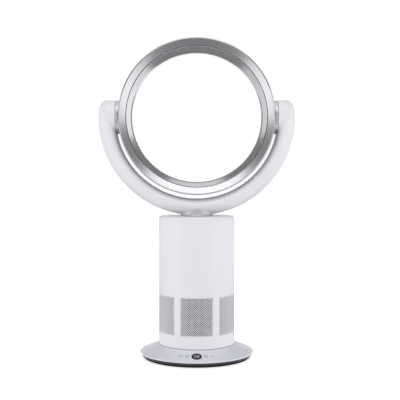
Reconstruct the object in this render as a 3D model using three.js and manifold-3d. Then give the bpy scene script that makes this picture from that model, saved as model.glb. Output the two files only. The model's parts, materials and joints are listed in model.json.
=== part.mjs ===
// A bladeless table fan: a round base with a touch panel, a drum-shaped tower that swivels on it and
// draws air in through six perforated windows, a crescent-shaped hollow yoke, and an annular nozzle
// that tilts between the yoke's two arms. Millimetres, +Z up, the front faces -Y, and the origin is on
// the table under the tower's axis.
import * as THREE from "three";
import { mergeVertices } from "three/addons/utils/BufferGeometryUtils.js";
import Module from "manifold-3d";

const wasm = await Module();
wasm.setup();

// ---- Driving dimensions -------------------------------------------------------------------------

const gap = 0.3; // between two pieces that touch
const seat = 0.1; // between two flat faces that are stuck or screwed together
const slip = 0.2; // between faces that slide on each other
const wall = 2.6; // casing walls
const past = 5; // how far a cutting shape reaches past what it cuts

// Base
const padHeight = 1.2;
const padRadius = 8;
const padInset = 16.5; // from the tray's edge to the middle of a pad
const panFloor = 2.6;
const panWall = 2;
const coverBrim = 35.6; // from the tower's wall to the cover's outer edge
const rimInset = 7; // how far the tray draws in below the rim
const rimHeight = 10; // the joint between tray and cover
const coverEdge = 2; // height of the cover's upright edge
const coverTop = 26.2;
const towerMargin = 2.3; // flat ring of the cover round the tower
const ballastHeight = 5;
const ballastMargin = 6.5; // to the tray's wall
const screwRadius = 1.4;
const screwHeadRadius = 3;
const screwHeadHeight = 1.2;
const bossRadius = 3.5;
const bossMargin = 5.8; // from the hub's hole to the screw bosses

// Touch panel, half-way down the slope of the cover
const windowRadius = 9.3;
const windowThickness = 2.2;
const keyOffsets = [-29, -17, 17, 29];
const keyRadius = 3.5;
const boardThickness = 1.6;
const boardWidth = 70;
const boardDepth = 14;
const contactHeight = 0.7; // the least height of a touch contact
const contactPlay = 0.6; // between a contact and the cover's underside
const digitsWidth = 13;
const digitsDepth = 9;

// Power socket, at the back of the base
const socketBore = 3.05;
const socketWidth = 10;
const socketWall = 0.5;
const socketLength = 14;
const socketSetback = 5.5; // from the rim to the socket's face
const socketBoreDepth = 11;
const socketPinRadius = 0.8;
const socketPinLength = 5.5;

// Swivel drive
const gearModule = 1.8;
const pinionTeeth = 10;
const sectorTeeth = 50; // teeth of the whole ring that the sector is cut from
const sectorAngle = 130;
const toothTip = 0.85; // of a module, above the pitch circle of the pinion
const toothRoot = 1.05; // of a module, below it
const sectorTip = 0.7; // of a module, inside the pitch circle of the sector
const gearHeight = 5.8;
const gearRim = 3;
const backlash = 0.3;
const hubWall = 3.2;
const hubHeight = 4.2;
const hubPlay = 1.4; // between the turning hub and the cover's hole
const retainerWidth = 10;
const retainerHeight = 2.4;
const driveMotorRadius = 14;
const driveMotorOffset = 8; // between the motor's axis and its output shaft
const driveShaftRadius = 2.5;
const slideRingHeight = 0.8;
const noseWall = 2; // of the drive motor, round its output shaft
const earLength = 6; // of the drive motor's ears, past its can
const slideRingMargin = 1; // inside the turntable's edge

// Tower
const towerRadius = 71.9;
const towerTop = 267.8;
const towerWall = 3;
const towerLift = 0.6; // between the base cover and the turning wall
const capHeight = 5.5;
const capFillet = 5;
const turntableHeight = 2.8;
const cableHole = 9; // radius of the turntable's opening for the wires
const grilleBottom = 50;
const grilleTop = 120.5;
const grilleCount = 6;
const grilleAngle = 50.4;
const grilleThickness = 1.8;
const grilleLedge = 2.2;
const grilleHole = 15; // across the corners of a diamond
const grilleColumns = 3;
const grilleRows = 3;
const standoffHeight = 6;

// Fan unit
const inletRadius = 36;
const inletHeight = grilleTop + 1.5;
const shroudHeight = 40;
const bucketMargin = 8.9; // between the diffuser's wall and the tower's
const impellerHeight = 34;
const impellerPlay = 2; // below the impeller, and round its top
const hubNose = 9;
const bladeCount = 7;
const bladeThickness = 1.8;
const bladeClearance = 1.2;
const bladeSteps = 3;
const shaftRadius = 2.5;
const motorRadius = 24;
const motorHeight = 36;
const diffuserHeight = 40;
const vaneCount = 7;
const neckRadius = 29.4;
const neckBore = 22.5;
const neckDepth = 13.5; // of the collar inside the tower

// Yoke and nozzle
const nozzleRadius = 148;
const nozzleHalfDepth = 33;
const lipInset = 2.5;
const bandWidth = 14.6; // from the outer wall to the air slot
const throatInset = 25.6; // from the outer wall to the narrowest part
const slotWidth = 1.5;
const slotDepth = 6; // behind the lip
const throatDepth = 28; // behind the lip
const flare = 4.5; // how far the back of the inner ring opens out
const nozzleWall = 2.2;
const frontRingDepth = 9.5; // of the front ring's side wall
const returnDepth = 8; // of the outer shell's inner wall, at the back
const spacerCount = 8;
const yokeClearance = 8; // between nozzle and yoke
const yokeWidth = 31;
const yokeHalfDepth = 32.4;
const yokeFillet = 9;
const yokeEndRadius = 32; // the arms' round ends, about the tilting axis
const yokeLift = 0.7; // between tower and yoke
const trunnionRadius = 31.5;
const trunnionFlange = 5.3;
const trunnionTube = 19;
const trunnionWall = 2.5;
const trunnionReach = 10; // of the tube, past the yoke's inner wall
const bushWall = 2.4;
const bushLip = 2.2;
const bushLipHeight = 1.8;
const clipWidth = 4.5;
const clipHeight = 1.6;
const yokeScrewAngles = [-65, -30, 30, 65];
const yokePost = 4.6;
const yokeHeadSeat = 18; // of the screws' heads, behind the parting plane
const yokeScrewLength = 25;

// Facets
const fine = 28;
const medium = 20;
const coarse = 12;
const small = 8;
const filletSteps = 2;
const arcSteps = 16; // of the yoke's half circle
const endRoundings = [30, 55, 75]; // degrees up the arms' round ends

// ---- Values worked out from them ----------------------------------------------------------------

const panTop = padHeight + panFloor;
const rimRadius = towerRadius + coverBrim;
const panRadius = rimRadius - rimInset;
const padCircle = panRadius - padInset;
const coverInnerRadius = towerRadius + towerMargin;
const coverSlope = Math.atan2(coverTop - rimHeight - coverEdge, rimRadius - coverInnerRadius);
const coverDrop = wall / Math.cos(coverSlope);
const coverFoot = rimRadius - 3.5;
const flangeBottom = coverTop - wall;
const panelCircle = (coverInnerRadius + rimRadius) / 2;
const socketFace = rimRadius - socketSetback;
const socketHeight = panTop + seat + socketWall + socketBore;

const gearPitchRadius = (gearModule * sectorTeeth) / 2;
const pinionPitchRadius = (gearModule * pinionTeeth) / 2;
const pinionCentre = gearPitchRadius - pinionPitchRadius;
const sectorRadius = gearPitchRadius + toothRoot * gearModule + gearRim;
const hubInnerRadius = sectorRadius + 2 * gap;
const hubRadius = hubInnerRadius + hubWall;
const hubHole = hubRadius + hubPlay;
const coverScrewCircle = hubHole + bossMargin + bossRadius;
const ballastInnerRadius = coverScrewCircle + bossRadius + 1.2;
const ballastOuterRadius = panRadius - panWall - ballastMargin;
const turntableBottom = coverTop + slideRingHeight + slip;
const towerBottom = coverTop + towerLift;
const hubBottom = turntableBottom - hubHeight;
const retainerBottom = hubBottom - slip - retainerHeight;
const boardBottom = turntableBottom + turntableHeight + standoffHeight;

const towerInner = towerRadius - towerWall;
const turntableRadius = towerInner - gap;
const shellTop = towerTop - capHeight;
const bucketRadius = towerInner - bucketMargin;
const impellerRadius = bucketRadius - 2 * impellerPlay;
const impellerBottom = inletHeight + impellerPlay;
const impellerTop = impellerBottom + impellerHeight;
const diffuserBottom = inletHeight + shroudHeight + 0.5;
const diffuserFloor = diffuserBottom + 2;
const diffuserTop = diffuserFloor + diffuserHeight;
const neckBottom = towerTop - wall - neckDepth;

const lipRadius = nozzleRadius - lipInset;
const slotRadius = nozzleRadius - bandWidth;
const throatRadius = nozzleRadius - throatInset;
const yokeInnerRadius = nozzleRadius + yokeClearance;
const yokeOuterRadius = yokeInnerRadius + yokeWidth;
const yokeMid = yokeInnerRadius + yokeFillet;
const yokeScrewRadius = yokeMid + 5;
const nozzleCentre = towerTop + yokeLift + yokeOuterRadius;
const pivotFace = nozzleRadius + trunnionFlange; // the outer face of the trunnion's flange
const bossFace = pivotFace + gap;
const bossDepth = yokeInnerRadius + wall + 0.4;
const pivotPocket = trunnionRadius + 0.7;
const bushBore = trunnionTube + 2 * slip;
const bushRadius = bushBore + bushWall;
const bushEnd = bossDepth + gap + bushLipHeight;
const tubeEnd = yokeInnerRadius + trunnionReach;
const clipRadius = trunnionTube + clipWidth;
const clipStart = bushEnd + 2 * slip;

// ---- Shapes --------------------------------------------------------------------------------------

const materials = {
  whitePlastic: { color: 0xe6e5ea, roughness: 0.38, metalness: 0 },
  silverPaint: { color: 0xb4b4ba, roughness: 0.28, metalness: 0.85 },
  greyPlastic: { color: 0xa6a5ab, roughness: 0.35, metalness: 0.3 },
  satinCover: { color: 0xc6c7cf, roughness: 0.35, metalness: 0.2 },
  blackPlastic: { color: 0x26272a, roughness: 0.3, metalness: 0 },
  rubber: { color: 0x1c1c1e, roughness: 0.85, metalness: 0 },
  steel: { color: 0x8f9296, roughness: 0.4, metalness: 1 },
  blackGlass: { color: 0x101218, roughness: 0.08, metalness: 0 },
  board: { color: 0x1f5a38, roughness: 0.6, metalness: 0 },
  acetal: { color: 0xe9e6dc, roughness: 0.5, metalness: 0 },
};
for (const [name, look] of Object.entries(materials)) {
  materials[name] = new THREE.MeshStandardMaterial({ name, ...look });
}

/** A closed geometry as a manifold-3d solid. */
function solid(geometry) {
  const bare = geometry.clone();
  bare.deleteAttribute("normal");
  bare.deleteAttribute("uv");
  const merged = mergeVertices(bare, 1e-4);
  const mesh = new wasm.Mesh({
    numProp: 3,
    vertProperties: merged.attributes.position.array,
    triVerts: new Uint32Array(merged.index.array),
  });
  return new wasm.Manifold(mesh);
}

/** A manifold-3d solid as a geometry. */
function geometryOf(made) {
  const { vertProperties, triVerts } = made.getMesh();
  const geometry = new THREE.BufferGeometry();
  geometry.setAttribute("position", new THREE.BufferAttribute(vertProperties, 3));
  geometry.setIndex(new THREE.BufferAttribute(triVerts, 1));
  geometry.computeVertexNormals();
  return geometry;
}

/** The first geometry, less all the others. */
function cut(geometry, ...tools) {
  return geometryOf(tools.reduce((left, tool) => left.subtract(solid(tool)), solid(geometry)));
}

/** All the geometries as one. */
function join(...geometries) {
  return geometryOf(geometries.map(solid).reduce((a, b) => a.add(b)));
}

/** What two geometries have in common. */
function common(a, b) {
  return geometryOf(solid(a).intersect(solid(b)));
}

/** Corners [x, y, fillet radius] as points, with each fillet as an arc. */
function outline(corners, steps = filletSteps) {
  const points = [];
  corners.forEach(([x, y, radius = 0], i) => {
    const corner = new THREE.Vector2(x, y);
    if (!radius) {
      points.push(corner);
      return;
    }
    const before = corners[(i + corners.length - 1) % corners.length];
    const after = corners[(i + 1) % corners.length];
    const toBefore = new THREE.Vector2(before[0] - x, before[1] - y).normalize();
    const toAfter = new THREE.Vector2(after[0] - x, after[1] - y).normalize();
    const half = Math.acos(toBefore.dot(toAfter)) / 2;
    const reach = radius / Math.tan(half);
    const centre = toBefore.clone().add(toAfter).normalize();
    centre.multiplyScalar(radius / Math.sin(half)).add(corner);
    const start = toBefore.multiplyScalar(reach).add(corner).sub(centre);
    const end = toAfter.multiplyScalar(reach).add(corner).sub(centre);
    const turn = Math.atan2(start.cross(end), start.dot(end));
    for (let k = 0; k <= steps; k++) {
      const point = start.clone().rotateAround(new THREE.Vector2(), (turn * k) / steps);
      points.push(point.add(centre));
    }
  });
  return points;
}

/** A profile of [radius, height, fillet] corners turned about +Y; it may start and end on the axis. */
function turnedAboutY(corners, segments = fine, steps = filletSteps) {
  const points = outline(corners, steps);
  if (points[0].x > 0 || points.at(-1).x > 0) points.push(points[0].clone());
  if (THREE.ShapeUtils.area(points) < 0) points.reverse();
  return new THREE.LatheGeometry(points, segments);
}

/** The same, turned about +Z. */
function turned(corners, segments = fine, steps = filletSteps) {
  return turnedAboutY(corners, segments, steps).rotateX(Math.PI / 2);
}

/** A ring or, with no inner radius, a disc, about +Z from one height to another. */
function ring(outer, inner, bottom, top, segments = fine) {
  return turned([[inner, bottom], [outer, bottom], [outer, top], [inner, top]], segments);
}

/** A disc about +Z. */
function disc(radius, bottom, top, segments = coarse) {
  return ring(radius, 0, bottom, top, segments);
}

/** A box with its middle at a point. */
function block(width, depth, height, x = 0, y = 0, z = 0) {
  return new THREE.BoxGeometry(width, depth, height).translate(x, y, z);
}

/** Turns a geometry made about +Z so that its axis is +X. */
function alongX(geometry) {
  return geometry.rotateY(Math.PI / 2);
}

/** Turns a geometry made about +Z so that its axis is +Y. */
function alongY(geometry) {
  return geometry.rotateX(-Math.PI / 2);
}

/** A piece of a ring between two angles in degrees, about +Z. */
function sector(outer, inner, from, to, bottom, top, steps = 8) {
  const at = (radius, k) => {
    const angle = THREE.MathUtils.degToRad(from + ((to - from) * k) / steps);
    return new THREE.Vector2(Math.cos(angle), Math.sin(angle)).multiplyScalar(radius);
  };
  const counts = [...Array(steps + 1).keys()];
  const points = [...counts.map((k) => at(outer, k)), ...counts.reverse().map((k) => at(inner, k))];
  return new THREE.ExtrudeGeometry(new THREE.Shape(points), {
    depth: top - bottom,
    bevelEnabled: false,
  }).translate(0, 0, bottom);
}

/** A skin through sections that each hold the same number of points, with flat ends. */
function loft(sections) {
  const count = sections[0].length;
  const middles = [sections[0], sections.at(-1)].map((section) =>
    section.reduce((sum, p) => sum.add(p), new THREE.Vector3()).divideScalar(count),
  );
  const index = [];
  const last = (sections.length - 1) * count;
  const start = sections.length * count;
  for (let k = 0; k < count; k++) {
    const next = (k + 1) % count;
    for (let row = 0; row < last; row += count) {
      index.push(row + k, row + next, row + count + k);
      index.push(row + next, row + count + next, row + count + k);
    }
    index.push(start, next, k);
    index.push(start + 1, last + k, last + next);
  }
  const geometry = new THREE.BufferGeometry().setFromPoints([...sections.flat(), ...middles]);
  return geometry.setIndex(index);
}

/** A named mesh. */
function piece(name, geometry, material, x = 0, y = 0, z = 0) {
  const mesh = new THREE.Mesh(geometry, material);
  mesh.name = name;
  mesh.position.set(x, y, z);
  return mesh;
}

/** A point on a circle about +Z, at an angle in degrees from +X. */
function onCircle(radius, degrees) {
  const angle = THREE.MathUtils.degToRad(degrees);
  return [radius * Math.cos(angle), radius * Math.sin(angle)];
}

/** A screw that points up, its head's underside at height 0. */
function screw(length, radius = screwRadius, head = screwHeadRadius) {
  return turned(
    [
      [0, -screwHeadHeight],
      [head, -screwHeadHeight],
      [head, 0],
      [radius, 0],
      [radius, length],
      [0, length],
    ],
    small,
  );
}

// ---- Base ----------------------------------------------------------------------------------------

const padAngles = [45, 135, 225, 315];
const coverScrewAngles = [90, 210, 330];

/** Height of the cover's outer face at a radius on its slope. */
function coverHeight(radius) {
  return coverTop - (radius - coverInnerRadius) * Math.tan(coverSlope);
}

/** How far the round cover falls below the flat panel at the far edge of a key, at an offset along X. */
function panelSag(x) {
  const reach = Math.hypot(panelCircle, Math.abs(x) + keyRadius);
  return (reach - panelCircle) * Math.sin(coverSlope);
}

/** Moves a geometry made on the XY plane onto the slope of the cover, at the touch panel. */
function onPanel(geometry) {
  return geometry.rotateX(coverSlope).translate(0, -panelCircle, coverHeight(panelCircle));
}

/** The black tray under everything, with an opening for the power socket at the back. */
function makePan() {
  const tray = turned([
    [0, padHeight],
    [panRadius, padHeight, 1.8],
    [rimRadius - 1.2, rimHeight - gap],
    [coverFoot - 0.3, rimHeight - gap],
    [panRadius - panWall, panTop],
    [0, panTop],
  ]);
  const notchHeight = rimHeight - panTop;
  const notch = block(socketWidth + 4 * gap, 20, notchHeight, 0, socketFace + 2, panTop + notchHeight / 2);
  const holes = coverScrewAngles.flatMap((angle) => {
    const [x, y] = onCircle(coverScrewCircle, angle);
    const sunk = disc(screwHeadRadius + gap, 0, padHeight + screwHeadHeight + gap).translate(x, y, 0);
    return [sunk, disc(screwRadius + gap, 0, rimHeight).translate(x, y, 0)];
  });
  return cut(tray, notch, ...holes);
}

/** The pale sloping cover, with the window's opening and the three screw bosses. */
function makeCover() {
  const shell = turned([
    [coverFoot, rimHeight],
    [rimRadius, rimHeight],
    [rimRadius, rimHeight + coverEdge, 1.4],
    [coverInnerRadius, coverTop],
    [hubHole, coverTop],
    [hubHole, flangeBottom],
    [coverInnerRadius - 0.6, flangeBottom],
    [coverFoot, coverHeight(coverFoot) - coverDrop],
  ]);
  const bosses = coverScrewAngles.map((angle) => {
    const [x, y] = onCircle(coverScrewCircle, angle);
    const post = ring(bossRadius, screwRadius + gap, panTop + 0.2, flangeBottom + 0.5, small);
    return post.translate(x, y, 0);
  });
  const opening = onPanel(disc(windowRadius + gap, -8, 8, medium));
  const socketTop = socketHeight + socketBore + socketWall + gap;
  const relief = block(socketWidth + 2 * gap, socketLength, 4, 0, socketFace - 6, socketTop - 2);
  return cut(join(shell, ...bosses), opening, relief);
}

/** The steel ring that keeps the fan from tipping, cut away behind the power socket. */
function makeBallast() {
  const bottom = panTop + seat;
  const body = ring(ballastOuterRadius, ballastInnerRadius, bottom, bottom + ballastHeight);
  const relief = block(socketWidth + 4, 30, 20, 0, socketFace - socketLength + 11, bottom);
  return cut(body, relief);
}

/** A barrel socket with its centre pin. */
function makeSocket() {
  const height = 2 * (socketBore + socketWall);
  const body = block(socketWidth, socketLength, height, 0, -socketLength / 2, 0);
  const bore = alongY(disc(socketBore, -socketBoreDepth, 1, 16));
  const pin = alongY(disc(socketPinRadius, -socketBoreDepth - 1, socketPinLength - socketBoreDepth, 8));
  return join(cut(body, bore), pin);
}

/** The geared motor that swings the tower, with its offset nose and two ears. */
function makeDriveMotor() {
  const top = turntableBottom - gearHeight - 1;
  const can = disc(driveMotorRadius, panTop + seat, top - 1.4, medium);
  const nose = disc(driveShaftRadius + noseWall, panTop + 1, top - 0.4).translate(driveMotorOffset, 0, 0);
  const ears = block(7, 2 * (driveMotorRadius + earLength), 0.8, 0, 0, top - 1.8);
  const bore = disc(driveShaftRadius + gap, top - 6, top + past, 16).translate(driveMotorOffset, 0, 0);
  return cut(join(can, nose, ears), bore);
}

function makeBase() {
  const base = new THREE.Group();
  const { blackPlastic, rubber, satinCover, steel, blackGlass, board, acetal } = materials;
  base.add(piece("base_pan", makePan(), blackPlastic));
  base.add(piece("base_cover", makeCover(), satinCover));
  padAngles.forEach((angle, i) => {
    const [x, y] = onCircle(padCircle, angle);
    base.add(piece(`foot_pad_${i + 1}`, disc(padRadius, 0, padHeight - seat), rubber, x, y));
  });
  coverScrewAngles.forEach((angle, i) => {
    const [x, y] = onCircle(coverScrewCircle, angle);
    const height = padHeight + screwHeadHeight + gap / 2;
    base.add(piece(`base_screw_${i + 1}`, screw(12), steel, x, y, height));
  });
  base.add(piece("ballast_ring", makeBallast(), steel));
  base.add(piece("power_socket", makeSocket(), blackPlastic, 0, socketFace, socketHeight));
  base.add(piece("swivel_motor", makeDriveMotor(), steel, pinionCentre - driveMotorOffset));
  const slideOuter = turntableRadius - slideRingMargin;
  const slideRing = ring(slideOuter, hubHole + hubPlay, coverTop + seat, coverTop + slideRingHeight);
  base.add(piece("slide_ring", slideRing, acetal));

  const panel = disc(windowRadius, -windowThickness, 0, medium);
  base.add(piece("display_window", onPanel(panel), blackGlass));
  const underside = -wall;
  const widest = Math.max(...keyOffsets.map(panelSag));
  const boardTop = underside - widest - contactPlay - contactHeight - seat;
  const sheet = block(boardWidth, boardDepth, boardThickness, 0, 0, boardTop - boardThickness / 2);
  base.add(piece("control_board", onPanel(sheet), board));
  const moduleHeight = -windowThickness - boardTop - 2 * gap;
  const digits = block(digitsWidth, digitsDepth, moduleHeight, 0, 0, boardTop + gap + moduleHeight / 2);
  base.add(piece("display_module", onPanel(digits), blackPlastic));
  keyOffsets.forEach((x, i) => {
    const top = underside - panelSag(x) - contactPlay;
    const pad = disc(keyRadius, boardTop + seat, top, coarse).translate(x, 0, 0);
    base.add(piece(`touch_contact_${i + 1}`, onPanel(pad), acetal));
  });
  return base;
}

// ---- Swivel drive --------------------------------------------------------------------------------

/** The outline of a toothed wheel, with a tooth on +X and involute flanks. */
function gearOutline(teeth, addendum, dedendum, slack) {
  const pitch = (gearModule * teeth) / 2;
  const pressure = THREE.MathUtils.degToRad(20);
  const baseRadius = pitch * Math.cos(pressure);
  const involute = (angle) => Math.tan(angle) - angle;
  const halfAtPitch = Math.PI / (2 * teeth) + slack / 2 / pitch;
  const halfAt = (radius) => {
    const angle = Math.acos(Math.min(1, baseRadius / radius));
    return halfAtPitch + involute(pressure) - involute(angle);
  };
  const root = pitch - dedendum;
  const tip = pitch + addendum;
  const radii = [root, Math.max(root, baseRadius) + 0.02, pitch, (pitch + tip) / 2, tip];
  const points = [];
  for (let tooth = 0; tooth < teeth; tooth++) {
    const middle = (2 * Math.PI * tooth) / teeth;
    const flank = radii.map((radius) => [radius, halfAt(radius)]);
    const rising = flank.map(([radius, half]) => [radius, middle - half]);
    const falling = flank.reverse().map(([radius, half]) => [radius, middle + half]);
    for (const [radius, angle] of [...rising, ...falling]) {
      points.push(new THREE.Vector2(Math.cos(angle), Math.sin(angle)).multiplyScalar(radius));
    }
  }
  return new THREE.Shape(points);
}

/** The pinion on the drive motor's shaft. */
function makePinion() {
  const flat = gearOutline(pinionTeeth, toothTip * gearModule, toothRoot * gearModule, -backlash);
  const wheel = new THREE.ExtrudeGeometry(flat, { depth: gearHeight - 0.8, bevelEnabled: false });
  return cut(wheel, disc(driveShaftRadius + gap, -1, gearHeight, 16));
}

/** The inward-toothed sector under the turntable that the pinion drives. */
function makeSector() {
  const bottom = turntableBottom - gearHeight;
  const half = sectorAngle / 2;
  const tip = gearPitchRadius - sectorTip * gearModule;
  const blank = sector(sectorRadius, tip - 2, -half, half, bottom, turntableBottom - seat, 14);
  const flat = gearOutline(sectorTeeth, toothRoot * gearModule, sectorTip * gearModule, backlash);
  const teeth = new THREE.ExtrudeGeometry(flat, { depth: 20, bevelEnabled: false });
  return cut(blank, teeth.translate(0, 0, bottom - 5), disc(tip, 0, coverTop + 9, fine));
}

function makeDrive() {
  const drive = new THREE.Group();
  drive.position.set(pinionCentre, 0, 0);
  const bottom = turntableBottom - gearHeight + slip;
  drive.add(piece("swivel_pinion", makePinion(), materials.acetal, 0, 0, bottom));
  const shaft = disc(driveShaftRadius, bottom - 5, bottom + gearHeight - 1, 16);
  drive.add(piece("swivel_shaft", shaft, materials.steel));
  return drive;
}

// ---- Tower ---------------------------------------------------------------------------------------

const retainerScrewAngles = [90, 180, 270];
const standoffs = [[-30, -20], [30, -20], [-30, 20], [30, 20]];

/** The turning floor of the tower, with the hub that reaches through the cover. */
function makeTurntable() {
  const top = turntableBottom + turntableHeight;
  const plate = turned([
    [cableHole, turntableBottom],
    [hubInnerRadius, turntableBottom],
    [hubInnerRadius, hubBottom],
    [hubRadius, hubBottom],
    [hubRadius, turntableBottom],
    [turntableRadius, turntableBottom],
    [turntableRadius, top],
    [cableHole, top],
  ]);
  const posts = standoffs.map(([x, y]) => disc(2.5, top - 1, boardBottom, 10).translate(x, y, 0));
  const holes = retainerScrewAngles.map((angle) => {
    const [x, y] = onCircle(hubRadius - hubWall / 2, angle);
    return disc(1.1, hubBottom - 1, turntableBottom, 8).translate(x, y, 0);
  });
  return cut(join(plate, ...posts), ...holes);
}

/** The ring under the cover that keeps the tower from lifting off. */
function makeRetainer() {
  const top = retainerBottom + retainerHeight;
  const body = ring(hubInnerRadius + retainerWidth, hubInnerRadius, retainerBottom, top);
  const holes = retainerScrewAngles.map((angle) => {
    const [x, y] = onCircle(hubRadius - hubWall / 2, angle);
    return disc(1.1, 0, coverTop, 8).translate(x, y, 0);
  });
  return cut(body, ...holes);
}

/** The tower's wall, with a stepped window for each grille. */
function makeTowerShell() {
  const shell = ring(towerRadius, towerInner, towerBottom, shellTop - gap);
  const ledge = towerRadius - grilleThickness - seat;
  const ledgeAngle = THREE.MathUtils.radToDeg(grilleLedge / towerRadius);
  const windows = [...Array(grilleCount).keys()].flatMap((i) => {
    const middle = -90 + (360 / grilleCount) * i;
    const from = middle - grilleAngle / 2;
    const to = middle + grilleAngle / 2;
    return [
      sector(towerRadius + 5, ledge, from, to, grilleBottom, grilleTop, 6),
      sector(
        ledge + 1, towerInner - 5, from + ledgeAngle, to - ledgeAngle,
        grilleBottom + grilleLedge, grilleTop - grilleLedge, 6,
      ),
    ];
  });
  return cut(shell, ...windows);
}

/** A perforated panel, facing +X. Its diamonds stand for a finer pattern of the same open share. */
function makeGrille() {
  const play = THREE.MathUtils.radToDeg(gap / towerRadius);
  const half = grilleAngle / 2 - play;
  const inner = towerRadius - grilleThickness;
  const bottom = grilleBottom + gap;
  const top = grilleTop - gap;
  const panel = sector(towerRadius, inner, -half, half, bottom, top, 6);
  const across = (2 * half) / grilleColumns;
  const along = (top - bottom) / grilleRows;
  const diamonds = [];
  for (let column = 0; column < grilleColumns; column++) {
    for (let row = 0; row < grilleRows; row++) {
      const angle = -half + across * (column + 0.5);
      const height = bottom + along * (row + 0.5);
      const bar = new THREE.CylinderGeometry(grilleHole / 2, grilleHole / 2, 12, 4);
      bar.rotateZ(Math.PI / 2).translate(towerRadius, 0, height);
      diamonds.push(bar.rotateZ(THREE.MathUtils.degToRad(angle)));
    }
  }
  return cut(panel, ...diamonds);
}

/** The round-edged lid of the tower. */
function makeCap() {
  return turned([
    [neckRadius - 2, towerTop - wall],
    [neckRadius - 2, towerTop],
    [towerRadius, towerTop, capFillet],
    [towerRadius, shellTop],
    [towerInner - gap, shellTop],
    [towerInner - gap, shellTop - 5],
    [towerInner - gap - 2, shellTop - 5],
    [towerInner - gap - 2, towerTop - wall],
  ]);
}

/** The circuit board with its capacitors, coil and heat sink. */
function makeDriverBoard() {
  const top = boardBottom + gap + boardThickness;
  const sheet = block(72, 52, boardThickness, 0, 0, top - boardThickness / 2);
  const cans = [-22, -10].map((x) => disc(5, top - 0.5, top + 13, 12).translate(x, 12, 0));
  const coil = block(16, 14, 9.5, 14, 10, top + 4.25);
  const fins = [0, 4, 8].map((x) => block(1.6, 22, 11.5, x - 14, -12, top + 5.25));
  return join(sheet, ...cans, coil, ...fins);
}

/** The shroud's inner face over the impeller, moved inwards by a clearance, as [radius, height]. */
function shroudFace(inset) {
  const opening = bucketRadius - 2 - inletRadius;
  const rises = [[0, 0], [0.07, 0.22], [0.45, 0.55], [0.82, 0.75], [1, 1]];
  return rises.map(([out, up]) => [
    inletRadius + opening * out - inset,
    inletHeight + shroudHeight * up,
  ]);
}

/** The shroud's inner radius at a height over the impeller. */
function shroudRadius(height) {
  const face = shroudFace(0);
  const next = face.findIndex(([, z]) => z >= height);
  const [lower, upper] = face.slice(next - 1, next + 1);
  return THREE.MathUtils.mapLinear(height, lower[1], upper[1], lower[0], upper[0]);
}

/** The flange and bell that lead air from the windows into the impeller. */
function makeShroud() {
  const back = shroudFace(-wall).slice(1);
  const flangeTop = inletHeight + wall;
  return turned([
    ...shroudFace(0),
    ...back.reverse(),
    [inletRadius + wall + 1, flangeTop],
    [towerInner - gap, flangeTop],
    [towerInner - gap, inletHeight],
  ]);
}

/** The impeller: a flared hub with swept blades that fill the shroud. */
function makeImpeller() {
  const rim = impellerRadius - 14;
  const hub = turned(
    [
      [shaftRadius + gap, impellerBottom],
      [hubNose, impellerBottom, 3],
      [hubNose + 5, impellerBottom + 14, 12],
      [rim, impellerTop - 3],
      [rim, impellerTop],
      [shaftRadius + gap, impellerTop],
    ],
    medium,
  );
  const face = shroudFace(bladeClearance).slice(1, 4);
  const bladeTop = impellerTop - 0.5;
  const envelope = turned(
    [
      [0, impellerBottom + 2],
      [inletRadius - bladeClearance - 3, impellerBottom + 2],
      ...face,
      [shroudRadius(bladeTop) - bladeClearance, bladeTop],
      [0, bladeTop],
    ],
    medium,
  );
  const curve = new THREE.QuadraticBezierCurve(
    new THREE.Vector2(hubNose - 1, 0),
    new THREE.Vector2(impellerRadius * 0.57, 0),
    new THREE.Vector2(impellerRadius * 0.86, impellerRadius * 0.6),
  );
  const spine = curve.getPoints(bladeSteps);
  const sides = [1, -1].map((side) =>
    spine.map((point, i) => {
      const along = curve.getTangent(i / bladeSteps);
      return new THREE.Vector2(-along.y, along.x).multiplyScalar((side * bladeThickness) / 2).add(point);
    }),
  );
  const plan = new THREE.Shape([...sides[1], ...sides[0].reverse()]);
  const blade = new THREE.ExtrudeGeometry(plan, { depth: impellerHeight + 6, bevelEnabled: false });
  blade.translate(0, 0, impellerBottom - 2);
  const swept = [...Array(bladeCount).keys()].map((i) =>
    common(blade.clone().rotateZ((2 * Math.PI * i) / bladeCount), envelope),
  );
  return cut(join(hub, ...swept), disc(shaftRadius + gap, 0, towerTop, 16));
}

/** The outer ring, motor cup and guide vanes above the impeller. */
function makeDiffuser() {
  const cup = motorRadius + 1 + wall;
  const outer = ring(bucketRadius + wall, bucketRadius, diffuserBottom, diffuserTop);
  const inner = turned(
    [
      [shaftRadius + 2, diffuserFloor],
      [cup, diffuserFloor, 3],
      [cup, diffuserTop - 4],
      [cup - wall, diffuserTop - 4],
      [cup - wall, diffuserFloor + wall],
      [shaftRadius + 2, diffuserFloor + wall],
    ],
    medium,
  );
  const length = bucketRadius - cup + 2;
  const vanes = [...Array(vaneCount).keys()].map((i) => {
    const vane = block(length, 1.8, diffuserHeight - 10, cup + length / 2 - 0.8, 0, 0);
    vane.rotateX(0.3).translate(0, 0, (diffuserFloor + diffuserTop) / 2);
    return vane.rotateZ((2 * Math.PI * i) / vaneCount);
  });
  return join(outer, inner, ...vanes);
}

/** The cone that narrows from the diffuser to the neck. */
function makeOutletCone() {
  const bottom = diffuserTop + gap;
  const top = neckBottom - 0.5;
  return turned([
    [bucketRadius, bottom],
    [bucketRadius + wall, bottom],
    [bucketRadius + wall, bottom + 4],
    [neckBore + wall, top],
    [neckBore, top],
    [bucketRadius, bottom + 4],
  ]);
}

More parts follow.
